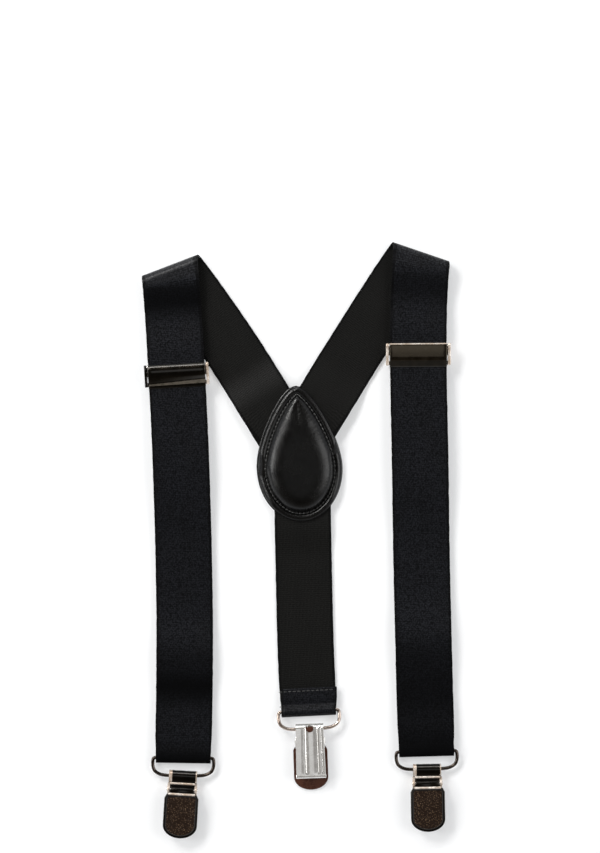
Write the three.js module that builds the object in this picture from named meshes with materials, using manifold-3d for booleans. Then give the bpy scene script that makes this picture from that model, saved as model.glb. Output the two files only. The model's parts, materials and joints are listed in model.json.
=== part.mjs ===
// Y-back dress suspenders for a child, laid flat: one inch elastic webbing, a padded leather
// teardrop at the back, two flip-lock adjusters and three lever clips on wire loops.
// Millimetres. +X is the right side as laid, +Y runs towards the shoulders, +Z is up.
// Every strap is a ribbon that follows a route. Side A of the webbing faces up on the back
// straps and side B faces up on the front straps, because the webbing folds over each shoulder.
import * as THREE from 'three';
import { mergeVertices } from 'three/addons/utils/BufferGeometryUtils.js';
import Module from 'manifold-3d';

const wasm = await Module();
wasm.setup();

// ---- driving dimensions: webbing ----
const WEBBING_WIDTH = 24.8;
const WEBBING_THICKNESS = 1.3;
const TURN_NARROWING = 0.8;        // the webbing draws in where it turns round a wire
const NARROWING_LENGTH = 12;
const LAYER_GAP = 0.3;             // between two webbings that lie on each other
const CUT_GAP = 0.3;               // between two lengths of one webbing
const CLIMB_START_Y = 76;          // a back strap climbs onto the patch's layers from here
const CLIMB_END_Y = 60;
const FOLD_RADIUS = 2.6;           // of the webbing's middle, at the shoulder
const HEM_LENGTH = 12.5;
const CARRIED_LENGTH = 9;          // length of front strap that moves with its clip
const FALL_LENGTH = 18;            // from a fold's top layer down to the lifted height
const LIFTED_END_Y = 35;           // a front strap is lifted down to here, for its adjuster
const LOW_START_Y = -5;            // and lies on its return strap from here
const TURN_APPROACH = 14;          // length over which it rises to its turn
const FOLD_LEAD = 8;               // straight length between a fold and its back route
const HEM_RISE = 0.3;              // the hem springs up a little, most at this length
const HEM_RISE_LENGTH = 6;

// ---- driving dimensions: routes of the straps, as laid ----
const SHOULDER_LEFT = new THREE.Vector2(-57.1, 120.4);
const SHOULDER_RIGHT = new THREE.Vector2(52.8, 126.3);
const BACK_ANGLE_LEFT = 38;        // degrees from +Y at which a back strap meets its fold
const BACK_ANGLE_RIGHT = 35.5;
const BACK_ROUTE_LEFT = [[-30.5, 84], [-4.2, 41.9]];
const BACK_ROUTE_RIGHT = [[21.3, 78.7], [2, 47.1]];
const MEETING_LINE_X = -1.8;       // where the back straps are cut to meet
const FOLD_TAIL = 6;               // length past the fold that stays with the back strap
const FRONT_ROUTE_LEFT = [[-54.9, 85], [-52.5, 38], [-50.9, -26], [-50.8, -55], [-51.4, -95.8]];
const FRONT_ROUTE_RIGHT = [[51.6, 92], [52.3, 40], [53.3, -16], [54.4, -62], [55.3, -92.9]];
const CENTRE_ROUTE = [[0.6, 40], [1.1, 5], [2.0, -37], [2.6, -55], [3.6, -75.2]];
const ADJUSTER_LEFT_DROP = 6.2;   // below where the back strap comes clear of the front one
const ADJUSTER_RIGHT_DROP = 1.5;

// ---- driving dimensions: back patch ----
const PATCH_LENGTH = 58.7;
const PATCH_WIDTH = 36.8;
const PATCH_WIDEST = 23;           // from the round end to the widest place
const PATCH_TILT = 2.6;            // degrees
const PATCH_BASE = new THREE.Vector2(0.9, 8.3);
const LEATHER = 1.1;
const BACK_LEATHER = 0.9;
const FILLER_RISE = 1.5;
const FILLER_SHARE = 0.8;          // of the patch outline that the filler fills
const PATCH_MARGIN = 0.6;          // how far the back leather stands out past the front

// ---- driving dimensions: wire loops ----
const WIRE_RADIUS = 0.75;
const WIRE_PLAY = 0.25;
const LOOP_MARGIN = 1.3;           // from the webbing's edge to the middle of the wire
const LOOP_DROP = 7.8;             // from the bar in the strap to the bar in the clip
const WIRE_END_GAP = 0.4;

// ---- driving dimensions: clips ----
const SHEET = 0.7;                 // thickness of the pressed steel
const BARREL_WIDTH = 12.2;
const BARREL_PLAY = 0.75;
const BARREL_WALL = 0.8;
const BARREL_FLAP = 3.3;
const BODY_LENGTH = 20.4;          // from the wire bar to the toothed lip
const RIB_HEIGHT = 0.5;
const EAR_GAP = 0.3;
const LEVER_PIN_Y = -6.0;
const LEVER_PIN_Z = 1.9;
const LEVER_PIN_RADIUS = 0.45;
const PIN_PLAY = 0.1;
const KNUCKLE_WALL = 0.5;
const EAR_WALL = 0.65;
const JAW_PIVOT_Y = -4.6;
const JAW_PIVOT_Z = 0.05;
const TONGUE_TOP = -7.9;
const TONGUE_TIP = -27.1;
const TONGUE_WIDTH = 15;
const TONGUE_SHEET = 0.8;
const TONGUE_Z = 3.0;              // underside of the tongue above the wire bar
const CLIP_TILT = { left: -3.4, centre: 2, right: 1 };

// ---- driving dimensions: adjusters ----
const ADJUSTER_LENGTH = 9.2;
const WALL_GAP = 0.35;             // from the webbing's edge to the side wall
const ADJUSTER_SHEET = 0.7;
const COVER_GAP = 0.25;
const COVER_SHEET = 0.8;
const COVER_DROP = 9.5;            // from the pin to the cover's free edge
const STRAP_BAR = 1.8;             // width of the bar that the sewn end goes round
const BAR_PLAY = 0.2;
const ANVIL_CLEARANCE = 0.85;      // from the sewn end to the plate under the strap
const END_TAB = 11;                // the sewn end's upper layer, and its lower layer's lap
const END_LAP = 3;

// ---- values that follow from them ----
const HALF_WEB = WEBBING_THICKNESS / 2;
const TURN_WIDTH = WEBBING_WIDTH - TURN_NARROWING;
const TURN_RADIUS = WIRE_RADIUS + WIRE_PLAY + HALF_WEB;
const BAR_HEIGHT = HALF_WEB + TURN_RADIUS;
const UPPER_LAYER = HALF_WEB + WEBBING_THICKNESS + LAYER_GAP;
const PATCH_LAYER_LOW = BACK_LEATHER + LAYER_GAP + HALF_WEB;
const PATCH_LAYER_HIGH = PATCH_LAYER_LOW + WEBBING_THICKNESS + LAYER_GAP;
const FRONT_LEATHER_Z = PATCH_LAYER_HIGH + HALF_WEB + LAYER_GAP;
const END_RADIUS = ADJUSTER_SHEET / 2 + BAR_PLAY + HALF_WEB;
const LIFTED_HEIGHT = HALF_WEB + 2 * END_RADIUS + WEBBING_THICKNESS + LAYER_GAP;
const LOOP_HALF_WIDTH = TURN_WIDTH / 2 + LOOP_MARGIN;
const BARREL_BORE = WIRE_RADIUS + BARREL_PLAY;
const BARREL_RADIUS = BARREL_BORE + BARREL_WALL;
const KNUCKLE_RADIUS = LEVER_PIN_RADIUS + KNUCKLE_WALL;
const PIN_BORE = LEVER_PIN_RADIUS + PIN_PLAY;
const LEVER_FACE = TONGUE_Z + TONGUE_SHEET;
const UP = new THREE.Vector3(0, 0, 1);
const SMALL_SIDES = 12;

// ---- finishes ----
const WEBBING = { color: 0x17181a, roughness: 0.85, metalness: 0 };
const LEATHER_BLACK = { color: 0x0f0f10, roughness: 0.4, metalness: 0 };
const FOAM = { color: 0x2a2a2a, roughness: 0.95, metalness: 0 };
const NICKEL = { color: 0xc9c4bd, roughness: 0.18, metalness: 1 };
const DARK_NICKEL = { color: 0x3a302a, roughness: 0.35, metalness: 1 };

const assembly = new THREE.Group();

function addMesh(parent, name, geometry, finish) {
  const mesh = new THREE.Mesh(geometry, new THREE.MeshStandardMaterial(finish));
  mesh.name = name;
  parent.add(mesh);
  return mesh;
}

// ---- solids ----
function toSolid(geometry) {
  const bare = geometry.clone();
  bare.deleteAttribute('normal');
  bare.deleteAttribute('uv');
  const merged = mergeVertices(bare, 1e-4);
  return new wasm.Manifold(new wasm.Mesh({
    numProp: 3,
    vertProperties: new Float32Array(merged.attributes.position.array),
    triVerts: new Uint32Array(merged.index.array),
  }));
}

function toGeometry(solid) {
  const mesh = solid.getMesh();
  const geometry = new THREE.BufferGeometry();
  geometry.setAttribute('position', new THREE.BufferAttribute(mesh.vertProperties, 3));
  geometry.setIndex(new THREE.BufferAttribute(mesh.triVerts, 1));
  geometry.computeVertexNormals();
  return geometry;
}

function join(geometries) {
  return geometries.map(toSolid).reduce((whole, piece) => whole.add(piece));
}

function box(x0, x1, y0, y1, z0, z1) {
  const geometry = new THREE.BoxGeometry(x1 - x0, y1 - y0, z1 - z0);
  return geometry.translate((x0 + x1) / 2, (y0 + y1) / 2, (z0 + z1) / 2);
}

// A rod along X between two x values.
function rod(radius, x0, x1, y, z) {
  const geometry = new THREE.CylinderGeometry(radius, radius, x1 - x0, SMALL_SIDES);
  return geometry.rotateZ(Math.PI / 2).translate((x0 + x1) / 2, y, z);
}

// A side view given as [y, z] points, made a plate between two x values.
function sidePlate(points, x0, x1) {
  const shape = new THREE.Shape(points.map(([y, z]) => new THREE.Vector2(y, z)));
  const geometry = new THREE.ExtrudeGeometry(shape, { depth: x1 - x0, bevelEnabled: false });
  const basis = new THREE.Matrix4().makeBasis(
    new THREE.Vector3(0, 1, 0), new THREE.Vector3(0, 0, 1), new THREE.Vector3(1, 0, 0));
  return geometry.applyMatrix4(basis).translate(x0, 0, 0);
}

// A cross-section given as [x, z] points, drawn out between two y values.
function crossPlate(points, y0, y1) {
  const shape = new THREE.Shape(points.map(([x, z]) => new THREE.Vector2(x, z)));
  const geometry = new THREE.ExtrudeGeometry(shape, { depth: y1 - y0, bevelEnabled: false });
  const basis = new THREE.Matrix4().makeBasis(
    new THREE.Vector3(1, 0, 0), new THREE.Vector3(0, 0, 1), new THREE.Vector3(0, -1, 0));
  return geometry.applyMatrix4(basis).translate(0, y1, 0);
}

// Points of an arc in a side view, from one angle to another in degrees.
function arc(y, z, radius, from, to, steps) {
  return Array.from({ length: steps + 1 }, (_, i) => {
    const angle = THREE.MathUtils.degToRad(from + (to - from) * i / steps);
    return [y + radius * Math.cos(angle), z + radius * Math.sin(angle)];
  });
}

// ---- ribbons ----
// A row is one line across the webbing: its middle, the way across it, half its length there,
// and side A's outward direction. A ribbon is a closed strip of webbing over its rows.
function row(middle, across, half, sideA) {
  return {
    left: middle.clone().addScaledVector(across, -half),
    right: middle.clone().addScaledVector(across, half),
    sideA: sideA.clone(),
  };
}

function ribbon(rows) {
  const corners = [];
  for (const { left, right, sideA } of rows) {
    for (const [edge, side] of [[left, 1], [right, 1], [left, -1], [right, -1]]) {
      corners.push(...edge.clone().addScaledVector(sideA, side * HALF_WEB).toArray());
    }
  }
  const index = [];
  const quad = (a, b, c, d) => index.push(a, b, c, a, c, d);
  for (let i = 0; i + 1 < rows.length; i += 1) {
    const at = 4 * i;
    const next = at + 4;
    quad(at, at + 1, next + 1, next);
    quad(at + 2, next + 2, next + 3, at + 3);
    quad(at, next, next + 2, at + 2);
    quad(at + 1, at + 3, next + 3, next + 1);
  }
  const end = 4 * (rows.length - 1);
  quad(0, 2, 3, 1);
  quad(end, end + 1, end + 3, end + 2);
  const geometry = new THREE.BufferGeometry();
  geometry.setAttribute('position', new THREE.Float32BufferAttribute(corners, 3));
  geometry.setIndex(index);
  geometry.computeVertexNormals();
  return geometry;
}

const flat = (v) => new THREE.Vector3(v.x, v.y, 0);
const rightOf = (v) => new THREE.Vector3(v.y, -v.x, 0);
const leftOf = (v) => new THREE.Vector3(-v.y, v.x, 0);
const ease = (t) => t * t * (3 - 2 * t);

// Height of a strap's middle along a list of [y, height] steps, eased between them.
function heightAt(steps, y) {
  if (y >= steps[0][0]) return steps[0][1];
  for (let i = 0; i + 1 < steps.length; i += 1) {
    const [y0, z0] = steps[i];
    const [y1, z1] = steps[i + 1];
    if (y >= y1) return z0 + (z1 - z0) * ease((y0 - y) / (y0 - y1));
  }
  return steps[steps.length - 1][1];
}

// The rows of a run of webbing between two y values on its plan route.
function runRows(curve, yFrom, yTo, count, heights, sideAUp, widthAt) {
  const rows = [];
  for (let i = 0; i <= count; i += 1) {
    const y = yFrom + (yTo - yFrom) * i / count;
    const t = parameterAt(curve, y);
    const middle = curve.getPoint(t);
    const travel = curve.getTangent(t);
    middle.z = heightAt(heights, y);
    const across = sideAUp ? rightOf(travel) : leftOf(travel);
    rows.push(row(middle, across, widthAt(y) / 2, sideAUp ? UP : UP.clone().negate()));
  }
  return rows;
}

// Width of a strap that draws in to its turn round a wire bar.
function narrowedAt(y, barY) {
  const away = Math.min(1, Math.max(0, (y - barY) / NARROWING_LENGTH));
  return TURN_WIDTH + TURN_NARROWING * ease(away);
}

// Routes run down, so a curve's y falls all along it.
function parameterAt(curve, y) {
  let low = 0;
  let high = 1;
  for (let i = 0; i < 40; i += 1) {
    const mid = (low + high) / 2;
    if (curve.getPoint(mid).y > y) low = mid;
    else high = mid;
  }
  return (low + high) / 2;
}

// Half a turn round a wire bar, from the layer the webbing arrives in to the one it leaves in.
function turnRows(bar, travel, across, radius, arrivesHigh, half) {
  const steps = 8;
  return Array.from({ length: steps + 1 }, (_, i) => {
    const angle = (arrivesHigh ? 1 : -1) * Math.PI * (0.5 - i / steps);
    const outward = travel.clone().multiplyScalar(Math.cos(angle))
      .addScaledVector(UP, Math.sin(angle));
    const middle = bar.clone().addScaledVector(outward, radius);
    return row(middle, across, half, outward.negate());
  });
}

// ---- the shoulder fold ----
function shoulderFold(shoulder, backAngle, frontTravel, side) {
  const lean = THREE.MathUtils.degToRad(backAngle) * side;
  const backTravel = new THREE.Vector3(Math.sin(lean), Math.cos(lean), 0);
  const outward = backTravel.clone().sub(frontTravel).normalize();
  const along = rightOf(outward);
  const slope = backTravel.dot(along) / backTravel.dot(outward);
  const half = WEBBING_WIDTH / 2 / along.dot(rightOf(backTravel));
  const axis = flat(shoulder).addScaledVector(outward, -(FOLD_RADIUS + HALF_WEB));
  const rows = [];
  const steps = 10;
  for (let i = 0; i <= steps; i += 1) {
    const angle = Math.PI * (i / steps - 0.5);
    const radial = outward.clone().multiplyScalar(Math.cos(angle))
      .addScaledVector(UP, Math.sin(angle));
    const middle = axis.clone()
      .addScaledVector(along, FOLD_RADIUS * angle * slope)
      .addScaledVector(UP, HALF_WEB + FOLD_RADIUS)
      .addScaledVector(radial, FOLD_RADIUS);
    rows.push(row(middle, along, half, radial.negate()));
  }
  return { rows, backTravel };
}

// ---- the patch outline ----
function patchFrame() {
  const tilt = new THREE.Matrix4().makeRotationZ(THREE.MathUtils.degToRad(PATCH_TILT));
  return tilt.setPosition(PATCH_BASE.x, PATCH_BASE.y, 0);
}

function teardrop(margin) {
  const half = PATCH_WIDTH / 2 + margin;
  const low = -margin;
  const tip = PATCH_LENGTH + margin;
  const round = 0.5523;
  const shape = new THREE.Shape();
  shape.moveTo(0, low);
  shape.bezierCurveTo(
    half * round, low, half, PATCH_WIDEST - (PATCH_WIDEST - low) * round, half, PATCH_WIDEST);
  shape.bezierCurveTo(half, PATCH_WIDEST + 11.7, 7.2 + margin, tip - 1.2, 0, tip);
  shape.bezierCurveTo(-7.2 - margin, tip - 1.2, -half, PATCH_WIDEST + 11.7, -half, PATCH_WIDEST);
  shape.bezierCurveTo(
    -half, PATCH_WIDEST - (PATCH_WIDEST - low) * round, -half * round, low, 0, low);
  return shape.getPoints(11).slice(0, -1);
}

// A closed leaf over the outline, whose two faces are given as heights over the share of the
// way from its middle to its edge.
function leaf(outline, share, lowAt, highAt, rings) {
  const centre = new THREE.Vector2(0, PATCH_WIDEST);
  const count = outline.length;
  const points = [];
  const index = [];
  for (const heightOf of [highAt, lowAt]) {
    for (let ring = 0; ring < rings; ring += 1) {
      const reach = 1 - ring / rings;
      for (const point of outline) {
        const at = centre.clone().lerp(point, reach * share);
        points.push(at.x, at.y, heightOf(reach));
      }
    }
    points.push(centre.x, centre.y, heightOf(0));
  }
  const layer = rings * count + 1;
  for (let i = 0; i < count; i += 1) {
    const j = (i + 1) % count;
    for (let ring = 0; ring + 1 < rings; ring += 1) {
      const out = ring * count;
      const inner = out + count;
      index.push(out + i, out + j, inner + j, out + i, inner + j, inner + i);
      index.push(layer + out + i, layer + inner + j, layer + out + j);
      index.push(layer + out + i, layer + inner + i, layer + inner + j);
    }
    const last = (rings - 1) * count;
    index.push(last + i, last + j, layer - 1);
    index.push(layer + last + i, 2 * layer - 1, layer + last + j);
    index.push(i, layer + i, layer + j, i, layer + j, j);
  }
  const geometry = new THREE.BufferGeometry();
  geometry.setAttribute('position', new THREE.Float32BufferAttribute(points, 3));
  geometry.setIndex(index);
  geometry.computeVertexNormals();
  return geometry.applyMatrix4(patchFrame());
}

function addPatch() {
  const dome = (reach) => FILLER_RISE * (1 - reach ** 2);
  const fillerFoot = FRONT_LEATHER_Z;
  const backOutline = teardrop(PATCH_MARGIN);
  const outline = teardrop(0);
  addMesh(assembly, 'patch_back_leather',
    leaf(backOutline, 1, () => 0, () => BACK_LEATHER, 1), LEATHER_BLACK);
  addMesh(assembly, 'patch_filler',
    leaf(outline, FILLER_SHARE, () => fillerFoot, (r) => fillerFoot + 0.3 + dome(r), 4), FOAM);
  const lining = (r) => fillerFoot + 0.3 + LAYER_GAP + dome(Math.min(1, r / FILLER_SHARE));
  addMesh(assembly, 'patch_front_leather',
    leaf(outline, 1, lining, (r) => lining(r) + LEATHER, 5), LEATHER_BLACK);
}

// ---- straps ----
const curveOf = (route) => new THREE.CatmullRomCurve3(
  route.map(([x, y]) => new THREE.Vector3(x, y, 0)), false, 'centripetal');

// The back strap from the line where the two meet under the patch up to its shoulder fold.
function backRows(side, foldFoot, backTravel, route) {
  const lead = foldFoot.clone().addScaledVector(backTravel, -FOLD_LEAD);
  const curve = curveOf([[foldFoot.x, foldFoot.y], [lead.x, lead.y], ...route]);
  const heights = [[CLIMB_START_Y, HALF_WEB], [CLIMB_END_Y, PATCH_LAYER_HIGH]];
  const rows = runRows(curve, foldFoot.y - 4, CLIMB_END_Y, 12, heights, false, () => WEBBING_WIDTH);
  rows.forEach((line) => line.sideA.negate());
  const travel = curve.getTangent(parameterAt(curve, CLIMB_END_Y));
  return [mitreRow(side, rows[rows.length - 1], travel), ...rows.reverse()];
}

// The end of a back strap, cut so that the two meet on a line down the middle of the patch.
function mitreRow(side, lastRow, travel) {
  const cutX = MEETING_LINE_X + side * CUT_GAP / 2;
  const [left, right] = [lastRow.left, lastRow.right].map((edge) =>
    edge.clone().addScaledVector(travel, (cutX - edge.x) / travel.x));
  return { left, right, sideA: UP.clone() };
}

// One shoulder's webbing: back strap with its fold, front strap, and the turn in the clip's
// wire loop. Returns the route, with the bar and the direction of travel at its end.
function addShoulderStrap(name, side, shoulder, backAngle, backRoute, frontRoute) {
  const curve = curveOf([[shoulder.x, shoulder.y - FOLD_RADIUS], ...frontRoute]);
  const upperTravel = curve.getTangent(0);
  const { rows: fold, backTravel } = shoulderFold(shoulder, backAngle, upperTravel, side);
  const foldFoot = fold[0].left.clone().lerp(fold[0].right, 0.5);
  const back = backRows(side, foldFoot, backTravel, backRoute);
  const top = fold[fold.length - 1];
  const middle = top.left.clone().lerp(top.right, 0.5);
  const past = row(middle.clone().addScaledVector(upperTravel, FOLD_TAIL),
    leftOf(upperTravel), WEBBING_WIDTH / 2, top.sideA);
  addMesh(assembly, `${name}_back_strap`, ribbon([...back, ...fold, past]), WEBBING);

  const bar = flat(new THREE.Vector2(...frontRoute[frontRoute.length - 1])).setZ(BAR_HEIGHT);
  const travel = curve.getTangent(1);
  const startY = middle.y - FOLD_TAIL - CUT_GAP;
  const carriedY = bar.y + CARRIED_LENGTH;
  const lifted = [[startY, middle.z], [startY - FALL_LENGTH, LIFTED_HEIGHT],
    [LIFTED_END_Y, LIFTED_HEIGHT], [LOW_START_Y, UPPER_LAYER],
    [bar.y + TURN_APPROACH, UPPER_LAYER], [bar.y, BAR_HEIGHT + TURN_RADIUS]];
  const widthAt = (y) => narrowedAt(y, bar.y);
  addMesh(assembly, `${name}_front_strap`,
    ribbon(runRows(curve, startY, carriedY, 22, lifted, false, widthAt)), WEBBING);

  const half = TURN_WIDTH / 2;
  const turn = [
    ...runRows(curve, carriedY - CUT_GAP, bar.y + 1, 3, lifted, false, widthAt),
    ...turnRows(bar, travel, leftOf(travel), TURN_RADIUS, true, half),
    row(placedAlong(bar, travel, -CARRIED_LENGTH, HALF_WEB), leftOf(travel), half, UP),
  ];
  addMesh(assembly, `${name}_strap_turn`, ribbon(turn), WEBBING);
  const crossing = Math.sin(backTravel.angleTo(upperTravel));
  const outerEdge = side < 0 ? fold[0].left : fold[0].right;
  const clearY = outerEdge.y - WEBBING_WIDTH / crossing * backTravel.y;
  return { curve, bar, travel, clearY };
}

const placedAlong = (from, travel, distance, height) =>
  from.clone().addScaledVector(travel, distance).setZ(height);

// The webbing that returns from the turn to the adjuster's sewn end.
function addReturn(name, strap, adjuster) {
  const { curve, bar } = strap;
  const top = adjuster.position.y - END_TAB - END_LAP;
  const bottom = bar.y + CARRIED_LENGTH + CUT_GAP;
  const rows = runRows(curve, top - CUT_GAP, bottom, 12, [[0, HALF_WEB]], true, () => TURN_WIDTH);
  addMesh(assembly, `${name}_return_strap`, ribbon(rows), WEBBING);
}

// The hem of the centre strap shows side B, because the webbing turns up over the wire.
function addCentreStrap() {
  const curve = curveOf(CENTRE_ROUTE);
  const bar = flat(new THREE.Vector2(...CENTRE_ROUTE[CENTRE_ROUTE.length - 1])).setZ(BAR_HEIGHT);
  const travel = curve.getTangent(1);
  const across = rightOf(travel);
  const heights = [[6, PATCH_LAYER_LOW], [-8, HALF_WEB]];
  const widthAt = (y) => narrowedAt(y, bar.y);
  const hemTop = placedAlong(bar, travel, -(HEM_LENGTH - TURN_RADIUS - HALF_WEB), UPPER_LAYER);
  const hemSlope = placedAlong(bar, travel, -HEM_RISE_LENGTH, UPPER_LAYER + HEM_RISE);
  const rows = [
    ...runRows(curve, CENTRE_ROUTE[0][1], bar.y + 1, 16, heights, true, widthAt),
    ...turnRows(bar, travel, across, TURN_RADIUS, false, TURN_WIDTH / 2),
    row(hemSlope, across, TURN_WIDTH / 2, UP.clone().negate()),
    row(hemTop, across, TURN_WIDTH / 2, UP.clone().negate()),
  ];
  addMesh(assembly, 'centre_strap', ribbon(rows), WEBBING);
  return { bar, travel };
}

// ---- wire loops and clips ----
function wireLoop() {
  const half = TURN_WIDTH / 2 + 0.1;
  const corner = LOOP_HALF_WIDTH - half;
  const end = WIRE_END_GAP / 2;
  const entry = BARREL_WIDTH / 2 + 0.3;
  const side = [[end, 0], [half * 0.5, 0], [half, 0], [half + corner * 0.75, -corner * 0.3],
    [LOOP_HALF_WIDTH, -corner], [LOOP_HALF_WIDTH - 0.15, 4.9 - LOOP_DROP],
    [LOOP_HALF_WIDTH - 1.9, 2.9 - LOOP_DROP], [LOOP_HALF_WIDTH - 4.1, 1.3 - LOOP_DROP],
    [entry, 0.15 - LOOP_DROP], [entry - 1.4, -LOOP_DROP]];
  const mirrored = side.map(([x, y]) => [-x, y]).reverse();
  const points = [...side, [0, -LOOP_DROP], ...mirrored]
    .map(([x, y]) => new THREE.Vector3(x, y, 0));
  const path = new THREE.CatmullRomCurve3(points, false, 'centripetal');
  const section = new THREE.Shape();
  section.absarc(0, 0, WIRE_RADIUS, 0, 2 * Math.PI);
  const sides = new THREE.Shape(section.getSpacedPoints(8).slice(0, -1));
  return new THREE.ExtrudeGeometry(sides, { steps: 44, bevelEnabled: false, extrudePath: path });
}

// Ribbed back plate that curls round the wire at its top, with two ears and a toothed lip.
function clipBody() {
  const half = BARREL_WIDTH / 2;
  const web = -BARREL_RADIUS + RIB_HEIGHT;
  const foot = -BARREL_RADIUS;
  const curl = sidePlate([
    [-5, foot], ...arc(0, 0, BARREL_RADIUS, -90, 90, 10), [-BARREL_FLAP, BARREL_RADIUS - 0.2],
    [-BARREL_FLAP, BARREL_BORE - 0.2], ...arc(0, 0, BARREL_BORE, 90, -90, 10),
    [-5, foot + BARREL_WALL]], -half, half);
  const outer = [[-half, web], [-4.4, web], [-3.8, foot], [-1.6, foot], [-1, web],
    [1, web], [1.6, foot], [3.8, foot], [4.4, web], [half, web]];
  const inner = outer.map(([x, z]) => [x, z + SHEET]).reverse();
  const plate = crossPlate([...outer, ...inner], -BODY_LENGTH, -4.5);
  const ear = [[-7.4, web + 0.1], [-4, web + 0.1], [-4, 0.9],
    ...arc(LEVER_PIN_Y, LEVER_PIN_Z, LEVER_PIN_RADIUS + EAR_WALL, 20, 160, 6), [-7.4, 0.9]];
  const ears = [-1, 1].map((side) => sidePlate(ear,
    side > 0 ? half - SHEET : -half, side > 0 ? half : -half + SHEET));
  const lip = box(-half, half, -BODY_LENGTH, -BODY_LENGTH + SHEET, web + 0.1, web + 0.75);
  const teeth = toothRow(half - 0.3, -BODY_LENGTH, -BODY_LENGTH + SHEET, web + 0.7, 0.35);
  const notch = box(-1.7, 1.7, -3.9, -0.6, foot - 1, foot + 1.2);
  const bores = [
    rod(PIN_BORE, -half - 1, half + 1, LEVER_PIN_Y, LEVER_PIN_Z),
    rod(PIN_BORE, -half - 1, half + 1, JAW_PIVOT_Y, JAW_PIVOT_Z)];
  return toGeometry(join([curl, plate, ...ears, lip, teeth]).subtract(join([notch, ...bores])));
}

// A row of pointed teeth across a jaw; a negative height points them down.
function toothRow(half, y0, y1, z, height) {
  const count = 7;
  const pitch = 2 * half / count;
  const points = [[-half, z - Math.sign(height) * 0.2]];
  for (let i = 0; i < count; i += 1) {
    points.push([-half + pitch * i + 0.05, z], [-half + pitch * (i + 0.5), z + height]);
  }
  points.push([half - 0.05, z], [half, z - Math.sign(height) * 0.2]);
  return crossPlate(height > 0 ? points : points.reverse(), y0, y1);
}

// The jaw that the lever presses down; its origin is at its own pivot.
function clipJaw() {
  const half = BARREL_WIDTH / 2 - SHEET - EAR_GAP;
  const tip = -BODY_LENGTH - JAW_PIVOT_Y;
  const plate = box(-half, half, tip + 0.1, 0.5, -0.35, 0.35);
  const teeth = toothRow(half - 0.2, tip + 0.1, tip + 0.1 + SHEET, -0.3, -0.3);
  const trunnions = rod(LEVER_PIN_RADIUS, -BARREL_WIDTH / 2, BARREL_WIDTH / 2, 0, 0);
  return toGeometry(join([plate, teeth, trunnions]));
}

// Lever tongue with its knuckle and cam; its origin is at the pin.
function clipLever() {
  const half = BARREL_WIDTH / 2 - SHEET - EAR_GAP;
  const wide = TONGUE_WIDTH / 2;
  const top = TONGUE_TOP - LEVER_PIN_Y;
  const tip = TONGUE_TIP - LEVER_PIN_Y;
  const roundHeight = 5.6;
  const under = TONGUE_Z - LEVER_PIN_Z;
  const outline = new THREE.Shape();
  outline.moveTo(-half, 0.5);
  outline.lineTo(-half, top);
  outline.lineTo(-wide + 1.2, top);
  outline.lineTo(-wide, top - 1.7);
  outline.lineTo(-wide, tip + roundHeight);
  outline.absellipse(0, tip + roundHeight, wide, roundHeight, Math.PI, 2 * Math.PI);
  outline.lineTo(wide, top - 1.7);
  outline.lineTo(wide - 1.2, top);
  outline.lineTo(half, top);
  outline.lineTo(half, 0.5);
  const plate = new THREE.ExtrudeGeometry(outline,
    { depth: TONGUE_SHEET, bevelEnabled: false, curveSegments: 14 }).translate(0, 0, under);
  const knuckle = rod(KNUCKLE_RADIUS, -half, half, 0, 0);
  const web = box(-half, half, -0.8, 0.5, 0, under + 0.2);
  const cam = box(-half + 1, half - 1, top - 1.5, top, -1.15, under + 0.2);
  const bore = rod(PIN_BORE, -half - 1, half + 1, 0, 0);
  return toGeometry(join([plate, knuckle, web, cam]).subtract(toSolid(bore)));
}

function leverPin() {
  const half = BARREL_WIDTH / 2;
  const shaft = rod(LEVER_PIN_RADIUS, -half - 0.5, half + 0.5, 0, 0);
  const heads = [-1, 1].map((side) => rod(LEVER_PIN_RADIUS + 0.35,
    side > 0 ? half + 0.15 : -half - 0.5, side > 0 ? half + 0.5 : -half - 0.15, 0, 0));
  return toGeometry(join([shaft, ...heads]));
}

// A wire loop in a strap's turn with its clip. A turned clip lies on its lever.
function addClip(name, bar, travel, turned) {
  const loop = new THREE.Group();
  loop.position.copy(bar);
  loop.rotation.order = 'ZXY';
  loop.rotation.z = Math.atan2(travel.x, -travel.y);
  const barHeight = turned ? LEVER_FACE : BARREL_RADIUS;
  loop.rotation.x = -Math.asin((barHeight - bar.z) / LOOP_DROP);
  assembly.add(loop);
  addMesh(loop, `${name}_wire_loop`, wireLoop(), NICKEL);
  const clip = new THREE.Group();
  clip.position.set(0, -LOOP_DROP, 0).applyEuler(loop.rotation).add(loop.position);
  clip.rotation.order = 'ZYX';
  clip.rotation.z = THREE.MathUtils.degToRad(CLIP_TILT[name]);
  clip.rotation.y = turned ? Math.PI : 0;
  assembly.add(clip);
  addMesh(clip, `${name}_clip_body`, clipBody(), NICKEL);
  addMesh(clip, `${name}_clip_jaw`, clipJaw(), NICKEL).position.set(0, JAW_PIVOT_Y, JAW_PIVOT_Z);
  addMesh(clip, `${name}_clip_lever`, clipLever(), DARK_NICKEL)
    .position.set(0, LEVER_PIN_Y, LEVER_PIN_Z);
  addMesh(clip, `${name}_clip_pin`, leverPin(), NICKEL)
    .position.set(0, LEVER_PIN_Y, LEVER_PIN_Z);
}

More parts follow.
